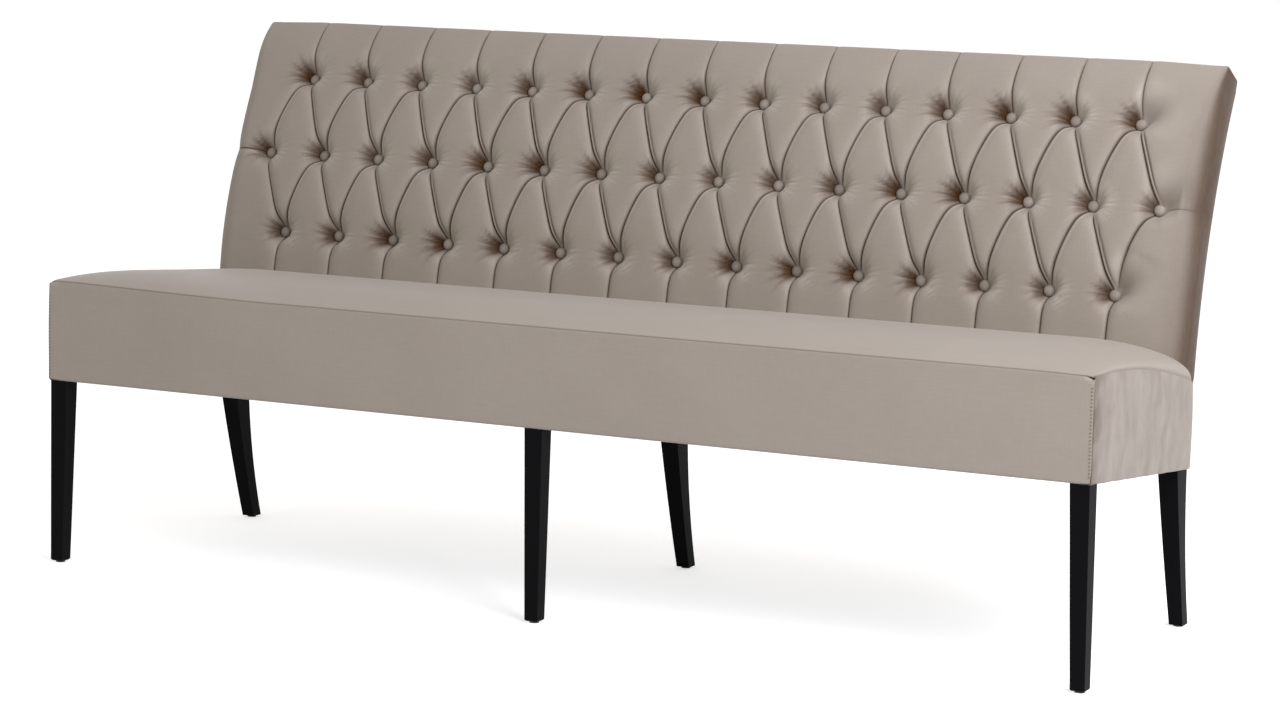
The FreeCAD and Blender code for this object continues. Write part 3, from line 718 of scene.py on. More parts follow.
def spot_names(across, along):
    """Names for a row of spots, the same in both patches that share them."""
    return [(round(x + off_the_half, 5), round(t + off_the_half, 5)) for x, t in zip(across, along)]


meeting = {}
for across, along, inward, turn, share, sides, sign in plans:
    for spots, spread in sides:
        for name, depth in zip(spot_names(across[spots], along[spots]), inward[spots]):
            meeting.setdefault(name, []).append(depth)

patches = []
largest_step = 0.0
for across, along, inward, turn, share, sides, sign in plans:
    mend = np.zeros(inward.shape)
    for spots, spread in sides:
        shared = np.array([np.mean(meeting[name]) for name in spot_names(across[spots], along[spots])])
        step = shared - inward[spots]
        largest_step = max(largest_step, np.abs(step).max())
        if spread.shape[0] == 1:
            mend = mend + spread * step[:, None]
        else:
            mend[:, :len(step)] += spread * step[None, :]
    patch = on_pad(across, along, inward + mend, turn, share)
    patches.append(patch if sign > 0 else patch[:, ::-1])

back_pad = make_piece("padded_back", patches, {"tone_and_painted_shading": tone_and_painted_shading_grids})
print("largest step closed at a pleat, mm:", round(largest_step * 1000, 2))
print("pad faces:", len(back_pad.data.polygons))

# %% [markdown]
# ## The dome of the seat
# The seat is a block of foam under one top panel. It stands high in the middle and falls to the
# ends and to the back, where the cloth is pulled down. A rounded box in a lattice could be bent
# that way, but one curve for the middle and one for the ends, each through five heights, say the
# same in fewer numbers and stay close to the solid below. The front corners are drawn down where
# the cloth puckers, and the left front end of this bench stands a little higher.

# %% Dome of the seat
seat_half = 0.950
seat_depth = 0.486
seam_inset = 0.003
rear_corner_radius = 0.028
dome_stations = np.array([0.003, 0.054, 0.150, 0.307, 0.465])
dome_middle = np.array([0.4857, 0.4988, 0.5028, 0.4947, 0.4785])
dome_ends = np.array([0.4837, 0.4828, 0.4778, 0.4575, 0.4225])
dome_roll = 0.170
dome_fullness = 0.46
dome_share = 0.97
left_lift = 0.009
lift_length, lift_fade = 0.45, 1.5
lift_depth, lift_depth_fade = 0.4, 1.3
pucker_dip, pucker_width = 0.0048, 0.010
seam_dip, seam_dip_width = 0.0008, 0.05
left_pucker_share = 0.7

middle_curve = np.polyfit(dome_stations, dome_middle, 4)
end_curve = np.polyfit(dome_stations, dome_ends, 4)


def half_width(depth):
    """Half the length of the seat top at a depth; its rear corners are rounded."""
    into = np.clip(depth - (seat_depth - rear_corner_radius), 0, rear_corner_radius)
    return seat_half - seam_inset - rear_corner_radius + np.sqrt(rear_corner_radius ** 2 - into ** 2)


def dome(across, depth):
    """Height of the seat top before its edge turns into the seam."""
    inside = np.clip((half_width(depth) - np.abs(across)) / dome_roll, 0, 1)
    share = (1 - (1 - inside) ** 2) ** dome_fullness
    reach = np.minimum(depth, dome_stations[-1])
    ends = np.polyval(end_curve, reach)
    lift = np.clip(1 - (across + seat_half) / lift_length, 0, 1) ** lift_fade
    lift = lift * np.clip(1 - depth / lift_depth, 0, 1) ** lift_depth_fade
    return ends + dome_share * share * (np.polyval(middle_curve, reach) - ends) + left_lift * lift


def corner_dip(across, depth):
    """How far the seam is drawn down at the puckered front corners."""
    near = np.hypot(seat_half - np.abs(across), depth)
    share = np.where(across > 0, 1.0, left_pucker_share)
    return share * (pucker_dip * bell(near, 0, pucker_width) + seam_dip * bell(near, 0, seam_dip_width))


print("height of the seat in its middle:", round(float(dome(0.0, seat_depth / 2)), 4))

# %% [markdown]
# ## The seat top
# The top panel is sewn to upright borders along a plain seam, so both cloths turn inward where
# they meet. Subdivision would smooth that turn away, so one fine grid carries the dome; its rows
# and columns crowd at the edges. Painted shade darkens the cloth along the seam, more at the
# puckered front corners, with a spot of painted shade at each front corner.

# %% Seat top
panel_edge_radius = 0.0028
top_lift = 0.001
# Painted shade along the seam and at the puckered front corners, lighter at the left one.
seam_line = 0.0009
pucker_line = 0.0024
pucker_shade, pucker_shade_width = 0.5, 0.017
pucker_shade_spot, pucker_shade_spot_width = 0.7, 0.006
left_shade_share = 0.3
front_seam_dark, side_seam_dark = 0.6, 0.28


def turned_in(distance, radius):
    """How far cloth has turned away at a distance from its sewn edge."""
    near = np.clip(radius - distance, 0, radius)
    return radius - np.sqrt(radius ** 2 - near ** 2)


seat_rows = close_ends(seat_depth - seam_inset, fine=0.0006, coarse=0.008, edge=0.008) + seam_inset
seat_columns = close_ends(1.0, fine=0.0003, coarse=0.005, edge=0.006) * 2 - 1
seat_d = np.repeat(seat_rows[:, None], len(seat_columns), axis=1)
seat_x = seat_columns[None, :] * half_width(seat_d)
from_side, from_front = half_width(seat_d) - np.abs(seat_x), seat_d - seam_inset
edge_gap = np.minimum(from_front, from_side)
corner_gap = np.hypot(from_side, from_front)
seat_z = dome(seat_x, seat_d) - turned_in(edge_gap, panel_edge_radius)
seat_z = seat_z - corner_dip(seat_x, seat_d) + top_lift
# Painted shade along the seam, wider and darker at the front corners, and a spot of painted shade at each of
# them.
near_corner = bell(corner_gap, 0, pucker_shade_width) * np.where(seat_x > 0, 1.0, left_shade_share)
seam_dark = np.where(from_front <= edge_gap, front_seam_dark, side_seam_dark) + pucker_shade * near_corner
seam_painted_shade = seam_dark * bell(edge_gap, 0, seam_line + pucker_line * near_corner)
seam_painted_shade = seam_painted_shade + pucker_shade_spot * bell(corner_gap, 0, pucker_shade_spot_width)
seat_top = make_piece("seat_top", [place(seat_x, seat_d, seat_z)], {"tone_and_painted_shading": [seam_painted_shade]})
print("seat top from", round(seat_z.min(), 3), "to", round(seat_z.max(), 3))

# %% [markdown]
# ## The section of a border
# A border is a strip of wadded cloth that hangs from the seam of the seat, bellies out a little
# and turns under the frame. A solid could be bevelled and puffed up, but all three borders share
# one section - seam, face, lower edge, turn-under - so we draw that once and sweep it along the
# front or round a side. The side borders also ripple near their lower edge.

# %% Section of a border
seat_underside = 0.320
seat_fall = 0.085
lower_edge_radius = 0.005
turn_under = 0.018
border_belly = 0.0015
border_end_radius = 0.003
ripple_stride, ripple_start, ripple_reach = 95, 1.3, 0.16
# Painted shade along the seams and the sewn front corners, a painted highlight beside each front corner, a
# band of painted shade at the front of each side, and the sides a little darker overall.
front_border_seam, side_border_seam = 0.6, 0.1
corner_seam_dark, corner_seam_line = 0.8, 0.0011
corner_light, corner_light_at, corner_light_width, corner_light_drop = 0.35, 0.010, 0.006, 0.02
side_shade, side_shade_length = 0.5, 0.036
side_darkening = 0.12
patch_stride, patch_start, patch_slant, patch_run = 17, 2, 7, 60

seam_turn = np.linspace(math.pi / 2, 0, 8)
lower_turn = np.linspace(0, math.pi / 2, 8)
face_share = np.linspace(0, 1, 30)[1:-1]
section_inset = np.concatenate([
    panel_edge_radius * (1 - np.cos(seam_turn)), 0 * face_share,
    lower_edge_radius * (1 - np.cos(lower_turn)), [turn_under]])[:, None]
section_drop = np.concatenate([
    -panel_edge_radius * np.sin(seam_turn), 0 * face_share,
    lower_edge_radius * np.sin(lower_turn), [lower_edge_radius]])[:, None]
section_share = np.concatenate([0 * seam_turn, face_share, 0 * lower_turn + 1, [1.0]])[:, None]


def border_painted_shading(from_end, rippled):
    """Painted shading of a border: painted shade along the seams, a painted highlight beside the corner, a
    band of painted shade on the sides, which are also a little darker overall.
    """
    below_seam = np.abs(section_drop + panel_edge_radius) + section_share
    seam = (side_border_seam if rippled else front_border_seam) * bell(below_seam, 0, seam_line)
    tone_and_painted_shading = np.maximum(seam, corner_seam_dark * bell(from_end, 0, corner_seam_line))
    light = bell(below_seam, 0, corner_light_drop) * bell(from_end, corner_light_at, corner_light_width)
    tone_and_painted_shading = tone_and_painted_shading - corner_light * light
    if rippled:
        crossed = np.sin(section_share * patch_slant + from_end * patch_run)
        patchy = 0.5 + 0.5 * np.sin(section_share * patch_stride + patch_start) * crossed
        shade = side_shade * bell(from_end, 0, side_shade_length) * (0.5 + 0.5 * patchy)
        tone_and_painted_shading = np.maximum(tone_and_painted_shading, shade) + side_darkening
    return tone_and_painted_shading


def border(name, outline, outward, lengths, ripple_height):
    """Sweep the border section along an outline of (across, depth) points."""
    across, depth = outline.T[:, None, :]
    out_across, out_depth = outward.T[:, None, :]
    from_end = (lengths if ripple_height else np.minimum(lengths, lengths[-1] - lengths))[None, :]
    belly = border_belly * np.sin(section_share * math.pi)
    ripple = np.sin(lengths[None, :] * ripple_stride + ripple_start) * bell(section_share, 1, ripple_reach)
    inward = section_inset + turned_in(from_end, border_end_radius) - belly - ripple_height * ripple
    seam = dome(across * (1 - seam_inset / seat_half), np.maximum(depth, seam_inset))
    top = seam - corner_dip(across, depth) - panel_edge_radius
    bottom = seat_underside - seat_fall * depth + lower_edge_radius
    height = top + (bottom - top) * section_share - section_drop
    points = place(across - out_across * inward, depth - out_depth * inward, height)
    return make_piece(name, [points], {"tone_and_painted_shading": [border_painted_shading(from_end, ripple_height > 0)]})


print("points in the section:", len(section_share))

# %% [markdown]
# ## The three borders
# The front border runs straight from corner to corner. A side border starts at the front corner,
# goes back along the side, round the rear corner and a short way behind the seat. A curve with a
# bevel object could sweep the section too, but it would not follow a seam that rises and falls.

# %% Borders of the seat
rear_length = 0.03
side_ripple = 0.0008

front_x = close_ends(2 * seat_half, fine=0.0005, coarse=0.008, edge=0.006) - seat_half
front_outline = np.stack([front_x, np.zeros(len(front_x))], axis=1)
front_outward = np.tile([0.0, -1.0], (len(front_x), 1))
front_border = border("seat_front", front_outline, front_outward, front_x + seat_half, 0)

straight_end = seat_depth - rear_corner_radius
straight = np.concatenate([np.arange(0, 0.006, 0.0005), np.linspace(0.006, straight_end, 60)])
bend = np.linspace(0, math.pi / 2, 14)[1:]
rear = np.linspace(0, rear_length, 5)[1:]
heading = np.concatenate([0 * straight, bend, 0 * rear + math.pi / 2])
gone_back = np.concatenate([straight, 0 * bend + straight_end, 0 * rear + straight_end])
gone_in = np.concatenate([0 * straight, 0 * bend, rear])
side_x = seat_half - rear_corner_radius * (1 - np.cos(heading)) - gone_in
side_d = gone_back + rear_corner_radius * np.sin(heading)
side_borders = []
for name, sign in (("seat_side_left", -1), ("seat_side_right", 1)):
    outline = np.stack([sign * side_x, side_d], axis=1)
    outward = np.stack([sign * np.cos(heading), np.sin(heading)], axis=1)
    lengths = np.concatenate([[0], np.cumsum(np.hypot(*np.diff(outline, axis=0).T))])
    side_borders.append(border(name, outline, outward, lengths, side_ripple))
print("border faces:", len(front_border.data.polygons), [len(b.data.polygons) for b in side_borders])

# %% [markdown]
# ## The outside back
# A plain panel of the same velvet closes the rear of the back. It follows the big arc at a layer
# behind the board and swells a little in its middle. A bent plane with a Solidify modifier would
# do as well; the arc of the back is already at hand, so its angles serve as rows.

# %% Outside back
outside_layer = 0.080
outside_trim = 0.006
outside_swell, swell_width = 0.002, 0.15
outside_edge_radius = 0.005

outside_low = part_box("outside_back_cover")[0][2]
outside_foot = math.asin((outside_low - axis_height) / (back_radius - outside_layer))
outside_top = top_angle - outside_trim
outside_x = close_ends(2 * back_half, fine=0.0006, coarse=0.012, edge=0.008) - back_half
angle_grid, x_grid = np.meshgrid(np.linspace(outside_foot, outside_top, 90), outside_x, indexing="ij")
from_top_or_foot = np.minimum(outside_top - angle_grid, angle_grid - outside_foot) * back_radius
edge_gap = np.minimum(back_half - np.abs(x_grid), from_top_or_foot)
puffed = outside_swell * np.clip(edge_gap / swell_width, 0, 1) ** 0.5
outside_d, outside_z = on_face(outside_layer + puffed - turned_in(edge_gap, outside_edge_radius), angle_grid)
outside_back = make_piece("outside_back", [place(x_grid, outside_d, outside_z)[:, ::-1]])
print("outside back from", round(outside_z.min(), 3), "to", round(outside_z.max(), 3))

# %% [markdown]
# ## The lower sides of the back
# Below the buttoned pad a short piece of cloth closes each side of the back behind the seat. It
# could be cut from a plane with the Knife. It fills the space between the seat, the arc of the
# face and the arc of the rear, so both arcs give its borders here and no trimming is needed.

# %% Lower sides
lower_side_top = 0.440
lower_side_inset = 0.0005
lower_side_edge = 0.004
# Painted shade over the lower sides of the back, a little lighter towards the rear.
lower_side_shade = [0.97, 0.94, 0.76]


def depth_of_arc(radius, heights):
    """Depth of an arc of the back at given heights."""
    return axis_depth - radius * np.cos(np.arcsin((heights - axis_height) / radius))


heights = np.linspace(outside_low, lower_side_top, 30)
shares = close_ends(1.0, fine=0.01, coarse=0.08, edge=0.08)
rear_depth = depth_of_arc(back_radius - back_thickness, heights)[:, None]
front_depth = np.maximum(seat_depth, depth_of_arc(back_radius, heights))[:, None]
lower_d = front_depth + (rear_depth - front_depth) * shares[None, :]
edge_gap = np.minimum(lower_d - front_depth, rear_depth - lower_d)
lower_x = back_half - lower_side_inset - turned_in(edge_gap, lower_side_edge)
# Painted shade over each lower side.
lower_painted_shade = np.tile(np.interp(shares, side_stations, lower_side_shade), (len(heights), 1))
lower_sides = []
for name, sign in (("back_side_left", -1), ("back_side_right", 1)):
    points = place(sign * lower_x, lower_d, heights[:, None])
    lower_sides.append(make_piece(name, [points], {"tone_and_painted_shading": [lower_painted_shade]}))
print("lower side faces:", [len(piece.data.polygons) for piece in lower_sides])

# %% [markdown]
# ## The dust cover
# Under the seat a thin black cloth is stapled to the rails. Cloth simulation would let it hang,
# but it is stretched tight, so a flat grid with a sag of one millimetre is enough.

# %% Dust cover
dust_clearance = 0.002
dust_thickness = 0.001
dust_sag = 0.001

dust_low, dust_high = (np.array(corner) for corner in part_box("dust_cover"))
dust_rows = np.linspace(dust_low[1], dust_high[1], 40) - front_y
dust_share, dust_d = np.meshgrid(np.linspace(-1, 1, 80), dust_rows, indexing="ij")
dust_x = dust_share * np.minimum(half_width(dust_d), dust_high[0] - dust_clearance)
dust_gone = dust_d - dust_rows[0]
hang = np.sin(dust_gone / (dust_rows[-1] - dust_rows[0]) * math.pi)
hang = hang * np.cos(dust_x / dust_high[0] * math.pi / 2)
dust_z = dust_high[2] - dust_thickness - seat_fall * dust_gone - dust_sag * hang
dust_sheet = make_piece("dust_sheet", [place(dust_x, dust_d, dust_z)])
print("dust sheet:", np.round(dust_high - dust_low, 3))

# %% [markdown]
# ## Nodes for the finishes
# A finish is a small tree of shader nodes. It could be wired by hand in the Shader Editor; since
# cloth and wood need the same few steps, each step is a helper here: plain colour, stretched
# noise, a change of range, a sum and a bump.

# %% Shader helpers
def new_material(name, colour, roughness):
    """A material with plain colour and roughness."""
    material = bpy.data.materials.new(name)
    material.use_nodes = True
    principled(material).inputs["Base Color"].default_value = (*colour, 1)
    principled(material).inputs["Roughness"].default_value = roughness
    return material


def principled(material):
    """The node of a material that sets its looks."""
    return material.node_tree.nodes["Principled BSDF"]


def stretched_noise(material, stretch, detail=4.0):
    """A noise texture on object coordinates, stretched along one direction."""
    tree = material.node_tree
    where = tree.nodes.new("ShaderNodeTexCoord")
    mapping = tree.nodes.new("ShaderNodeMapping")
    mapping.inputs["Scale"].default_value = stretch
    noise = tree.nodes.new("ShaderNodeTexNoise")
    noise.inputs["Scale"].default_value = 1.0
    noise.inputs["Detail"].default_value = detail
    tree.links.new(where.outputs["Object"], mapping.inputs["Vector"])
    tree.links.new(mapping.outputs["Vector"], noise.inputs["Vector"])
    return noise.outputs["Fac"]


def carried(tree, value, old, new):
    """A value carried from an old range to a new one."""
    node = tree.nodes.new("ShaderNodeMapRange")
    for socket, number in zip(("From Min", "From Max", "To Min", "To Max"), (*old, *new)):
        node.inputs[socket].default_value = number
    tree.links.new(value, node.inputs["Value"])
    return node.outputs["Result"]


def joined(tree, first, second, operation="ADD"):
    """Two values joined by one operation, a sum if nothing else is named."""
    node = tree.nodes.new("ShaderNodeMath")
    node.operation = operation
    tree.links.new(first, node.inputs[0])
    tree.links.new(second, node.inputs[1])
    return node.outputs["Value"]


def bumped(material, height, strength, distance):
    """Let a height texture roughen the surface of a material."""
    tree = material.node_tree
    bump = tree.nodes.new("ShaderNodeBump")
    bump.inputs["Strength"].default_value = strength
    bump.inputs["Distance"].default_value = distance
    tree.links.new(height, bump.inputs["Height"])
    tree.links.new(bump.outputs["Normal"], principled(material).inputs["Normal"])


print("materials that came with the frame:", len(bpy.data.materials))

# %% [markdown]
# ## Velvet
# Velvet is woven with a short pile that looks darker from some sides and shimmers from others.
# Here much of that is painted: the shading stored on the mesh mixes a pale taupe towards a dark
# taupe of painted shade, or past the pale one into painted light, and the sheen and shine are
# weakened where the painted shade is dark. A photograph of cloth could be wrapped round the
# pieces, but a shader made of noise never stretches or repeats. It also adds cloudy mottling and
# uses crossed threads for the slub in colour and bump.

# %% Velvet
pale_taupe = (0.318, 0.275, 0.230)
button_taupe = (0.292, 0.252, 0.211)
# The dark taupe is the colour of painted shade; a share below zero paints light paler than the cloth.
painted_shade_taupe = (0.084, 0.054, 0.036)
sheen_tint = (0.95, 0.91, 0.90)
pile_roughness, sheen_roughness = 0.52, 0.4
sheen_most, shine_most, shade_dulling = 0.24, 0.20, 0.15
weft_stretch, warp_stretch = (40, 520, 520), (700, 60, 60)
thread_range, thread_tone = (0.6, 1.4), 0.06
cloud_range, cloud_detail = (0.3, 0.7), 3.0


def velvet(name, pale, mottle, mottle_depth):
    """Taupe velvet: slub in colour and bump, darker by the painted shade stored on the mesh, lighter by
    painted light, with less sheen and shine where the painted shade is dark.
    """
    material = new_material(name, pale, pile_roughness)
    shader = principled(material)
    tree = material.node_tree
    shader.inputs["Sheen Roughness"].default_value = sheen_roughness
    shader.inputs["Sheen Tint"].default_value = (*sheen_tint, 1)
    stored = tree.nodes.new("ShaderNodeAttribute")
    stored.attribute_name = "tone_and_painted_shading"
    tone_and_painted_shading = stored.outputs["Fac"]
    # Less sheen and shine where the painted shade is dark.
    for socket, most in (("Sheen Weight", sheen_most), ("Specular IOR Level", shine_most)):
        tree.links.new(carried(tree, tone_and_painted_shading, (0, 1), (most, most * shade_dulling)), shader.inputs[socket])
    weft, warp = (stretched_noise(material, stretch) for stretch in (weft_stretch, warp_stretch))
    threads = joined(tree, weft, warp)
    cloud = stretched_noise(material, mottle, cloud_detail)
    slub = carried(tree, threads, thread_range, (-thread_tone, thread_tone))
    blotch = carried(tree, cloud, cloud_range, (-mottle_depth / 3, mottle_depth))
    # The stored painted shading, with slub and blotches, carries the colour from pale taupe towards the dark
    # taupe of painted shade.
    mix = tree.nodes.new("ShaderNodeMix")
    mix.data_type = "RGBA"
    mix.clamp_factor = False
    factor, colours = mix.inputs[0], mix.inputs[6:8]
    for socket, colour in zip(colours, (pale, painted_shade_taupe)):
        socket.default_value = (*colour, 1)
    tree.links.new(joined(tree, joined(tree, tone_and_painted_shading, slub), blotch), factor)
    tree.links.new(mix.outputs[2], shader.inputs["Base Color"])
    bumped(material, threads, strength=0.25, distance=0.0004)
    return material


velvet_plain = velvet("velvet_plain", pale_taupe, mottle=(6, 6, 6), mottle_depth=0.05)
velvet_side = velvet("velvet_side", pale_taupe, mottle=(36, 36, 18), mottle_depth=0.26)
velvet_button = velvet("velvet_button", button_taupe, mottle=(11, 11, 11), mottle_depth=0.4)
print("velvets:", [material.name for material in (velvet_plain, velvet_side, velvet_button)])

# %% [markdown]
# ## Plain finishes
# The legs are black lacquered wood; the rest of the frame is bare wood, board, steel and plastic
# that hardly shows. Image textures would be wasted on these, so a colour and a roughness do for
# most; the wood gets a streaked bump, the lacquer a dull shine and the steel a metal surface.

# %% Plain finishes
plain_finishes = {
    "black_lacquer": ((0.005, 0.005, 0.0055), 0.42),
    "frame_wood": ((0.60, 0.44, 0.28), 0.7),
    "plywood": ((0.66, 0.50, 0.33), 0.7),
    "zinc_steel": ((0.60, 0.60, 0.58), 0.35),
    "glide_plastic": ((0.03, 0.03, 0.03), 0.5),
    "toggle_plastic": ((0.80, 0.80, 0.78), 0.5),
    "twine": ((0.70, 0.63, 0.50), 0.9),
    "webbing": ((0.10, 0.08, 0.06), 0.9),
    "thread": ((0.17, 0.135, 0.108), 0.8),
    "foam": ((0.82, 0.77, 0.60), 0.95),
    "dust_cloth": ((0.02, 0.02, 0.02), 0.95)}
finishes = {name: new_material(name, *look) for name, look in plain_finishes.items()}
finishes["velvet"] = velvet_plain
principled(finishes["black_lacquer"]).inputs["Specular IOR Level"].default_value = 0.02
principled(finishes["zinc_steel"]).inputs["Metallic"].default_value = 1.0
wood = finishes["frame_wood"]
bumped(wood, stretched_noise(wood, (8, 90, 90)), strength=0.15, distance=0.001)
print("materials:", len(bpy.data.materials))

# %% [markdown]
# ## A node tree that repeats a part
# Buttons and corner stitches repeat, so we model one of size one and let a node tree put it on
# every point. Copies could be placed by hand or with an Array, but neither follows a curved face.
# The points carry the direction that the copy should face; the tree scales the copy to its size,
# makes it real and gives it its finish, and afterwards the copies become one plain mesh.

# %% A node tree that repeats a part
def repeat(name, places, facings, template, size, material):
    """Put copies of a template of size one on points, each facing its way, as one plain mesh."""
    cloud = bpy.data.meshes.new(name + "_points")
    cloud.from_pydata([tuple(p) for p in places], [], [])
    facing = cloud.attributes.new("facing", "FLOAT_VECTOR", "POINT")
    facing.data.foreach_set("vector", np.asarray(facings, dtype=np.float32).ravel())
    holder = bpy.data.objects.new(name + "_holder", cloud)
    bpy.context.scene.collection.objects.link(holder)
    tree, sockets = repeat_tree(name + "_repeat")
    modifier = holder.modifiers.new("repeat", "NODES")
    modifier.node_group = tree
    for title, value in (("Part", template), ("Size", size), ("Finish", material)):
        modifier[sockets[title]] = value
    view = bpy.context.evaluated_depsgraph_get()
    mesh = bpy.data.meshes.new_from_object(holder.evaluated_get(view))
    piece = bpy.data.objects.new(name, mesh)
    bpy.context.scene.collection.objects.link(piece)
    bpy.data.objects.remove(holder)
    bpy.data.objects.remove(template)
    mesh.shade_smooth()
    print(name, "copies:", len(places), "faces:", len(mesh.polygons))
    return piece


def repeat_tree(name):
    """The node tree that puts a part on points, and the names of its sockets."""
    tree = bpy.data.node_groups.new(name, "GeometryNodeTree")
    sockets = {}
    kinds = {"Points": "Geometry", "Part": "Object", "Size": "Float", "Finish": "Material"}
    for title, kind in kinds.items():
        socket = tree.interface.new_socket(title, in_out="INPUT", socket_type="NodeSocket" + kind)
        sockets[title] = socket.identifier
    tree.interface.new_socket("Mesh", in_out="OUTPUT", socket_type="NodeSocketGeometry")
    inlet = tree.nodes.new("NodeGroupInput")
    outlet = tree.nodes.new("NodeGroupOutput")
    info = tree.nodes.new("GeometryNodeObjectInfo")
    facing = tree.nodes.new("GeometryNodeInputNamedAttribute")
    facing.data_type = "FLOAT_VECTOR"
    facing.inputs["Name"].default_value = "facing"
    align = tree.nodes.new("FunctionNodeAlignRotationToVector")
    align.axis = "Z"
    copies = tree.nodes.new("GeometryNodeInstanceOnPoints")
    real = tree.nodes.new("GeometryNodeRealizeInstances")
    dress = tree.nodes.new("GeometryNodeSetMaterial")
    for source, out, target, into in (
            (inlet, "Part", info, "Object"),
            (facing, "Attribute", align, "Vector"),
            (inlet, "Points", copies, "Points"),
            (info, "Geometry", copies, "Instance"),
            (align, "Rotation", copies, "Rotation"),
            (inlet, "Size", copies, "Scale"),
            (copies, "Instances", real, "Geometry"),
            (real, "Geometry", dress, "Geometry"),
            (inlet, "Finish", dress, "Material"),
            (dress, "Geometry", outlet, "Mesh")):
        tree.links.new(source.outputs[out], target.inputs[into])
    return tree, sockets


def full_circle(count):
    """Angles once round a circle; the last falls on the first and is welded to it."""
    return np.linspace(0, 2 * math.pi, count)


print("corners of a button and of a stitch:", len(full_circle(25)) - 1, len(full_circle(9)) - 1)

# %% [markdown]
# ## The buttons
# A button is a small metal shell covered in the same velvet: a low dome with a rounded rim. We
# turn its outline, given in shares of the radius, round an axis, as the Spin tool would do. Each
# one sits at the bottom of its dimple and faces out of the padded face.

# %% Buttons
button_radius = 0.0098
button_stand = 0.003
button_outline = [
    (0.0, 0.530), (0.35, 0.500), (0.62, 0.418), (0.82, 0.276),
    (0.95, 0.102), (1.0, -0.102), (0.9, -0.408), (0.0, -0.408)]
unit_weld = 0.001

button_patch = np.array([
    [(r * math.cos(a), r * math.sin(a), z) for a in full_circle(25)] for r, z in button_outline])
button_template = make_piece("button_one", [button_patch[:, ::-1]], weld=unit_weld)
button_sunk = dimple_depth - button_stand
spots_depth, spots_height, spots_facing = (
    np.interp(button_spots[:, 1], line_gone, values) for values in (line_depth, line_height, line_facing))
button_places = place(
    button_spots[:, 0],
    spots_depth + button_sunk * np.cos(spots_facing),
    spots_height - button_sunk * np.sin(spots_facing))
button_facings = np.stack([0 * spots_facing, -np.cos(spots_facing), np.sin(spots_facing)], axis=-1)
buttons = repeat("buttons", button_places, button_facings, button_template, button_radius, velvet_button)

# %% [markdown]
# ## The corner stitches
# At the two front corners of the seat the borders are sewn together by hand, and the stitches
# show as a row of short, slanted threads. A texture would be flat there, so each is a small
# spindle that lies on the belly of the border.

# %% Corner stitches
stitch_length = 0.0044
stitch_slimness = 0.205
stitch_pitch = 0.0056
stitch_start = seat_underside + 0.012
stitch_end = 0.470
stitch_inset, stitch_sunk = 0.0036, 0.0001
stitch_facing = [1.0, 0.0, 0.25]
stitch_outline = [(-1.0, 0.0), (-0.8, 0.7), (-0.4, 1.0), (0.0, 1.0), (0.4, 1.0), (0.8, 0.7), (1.0, 0.0)]

stitch_patch = np.array([
    [(s * stitch_slimness * math.cos(a), s * stitch_slimness * math.sin(a), e / 2) for a in full_circle(9)]
    for e, s in stitch_outline])
stitch_template = make_piece("stitch_one", [stitch_patch], weld=unit_weld)
stitch_places = []
for height in np.arange(stitch_start, stitch_end, stitch_pitch):
    share = (height - seat_underside) / (dome_middle[0] - seat_underside)
    bulge = border_belly * math.sin(math.pi * share)
    for sign in (-1, 1):
        stitch_places.append((sign * (seat_half - stitch_inset), front_y - bulge + stitch_sunk, height))
stitches = repeat(
    "corner_stitches", stitch_places, np.tile(stitch_facing, (len(stitch_places), 1)),
    stitch_template, stitch_length, finishes["thread"])

# %% [markdown]
# ## Dress the frame
# The new pieces get their cloth and the solids of the frame their own finish. The legs keep their
# solid; on a real leg no edge is quite sharp, and a small Bevel modifier rounds them more easily
# than a new mesh would.

# %% Give every piece its finish
leg_edge = 0.0012
sharp_from = math.radians(35)

for piece in (back_pad, seat_top, front_border, outside_back, *lower_sides):
    piece.data.materials.append(velvet_plain)
for piece in side_borders:
    piece.data.materials.append(velvet_side)
dust_sheet.data.materials.append(finishes["dust_cloth"])

for entry in frame["record"]["subparts"]:
    node = nodes[entry["node"]]
    node.data.materials.clear()
    node.data.materials.append(finishes[entry["material_slot"]])
    if "leg" in entry["node"]:
        bevel = node.modifiers.new("soft edges", "BEVEL")
        bevel.width = leg_edge
        bevel.segments = 2
        bevel.limit_method = "ANGLE"
        bevel.angle_limit = sharp_from

# %% [markdown]
# ## Hang the pieces on the frame
# Every piece rides on the one body of the bench, and the solids that it stands for are hidden, so
# that nothing is drawn twice. The dust sheet hides the dust cover of the frame in the same way.

# %% Pieces and the frame
stands_for = [
    (back_pad, ["back_pad"]), (buttons, ["tuft_buttons"]), (seat_top, ["seat_cushion"]),
    (front_border, ["seat_front_border"]),
    (side_borders[0], ["seat_side_border_left"]), (side_borders[1], ["seat_side_border_right"]),
    (lower_sides[0], ["back_side_cover_left"]), (lower_sides[1], ["back_side_cover_right"]),
    (outside_back, ["outside_back_cover"])]
for piece, replaced in stands_for:
    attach(piece, "root")
    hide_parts(*replaced)
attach(stitches, "root")
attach(dust_sheet, "root")
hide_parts("dust_cover")

# %% [markdown]
# ## The floor
# The bench stands on a white studio floor. A plain white floor would come out grey, because no
# floor throws back all its light. So for rays that come from the camera, or by way of metal or
# glass, we add as much glow as its share of the ambient light lacks to white: bare floor turns
# white and the shadow under the bench stays.

# %% Floor
floor_half = 20
floor_white = 0.8
ambient_level = 0.44


def seen_by(tree):
    """One for rays of the camera and for those that metal or glass sends on, else zero."""
    rays = tree.nodes.new("ShaderNodeLightPath")
    seen = rays.outputs["Is Camera Ray"]
    for kind in ("Is Glossy Ray", "Is Transmission Ray"):
        seen = joined(tree, seen, rays.outputs[kind], "MAXIMUM")
    return seen


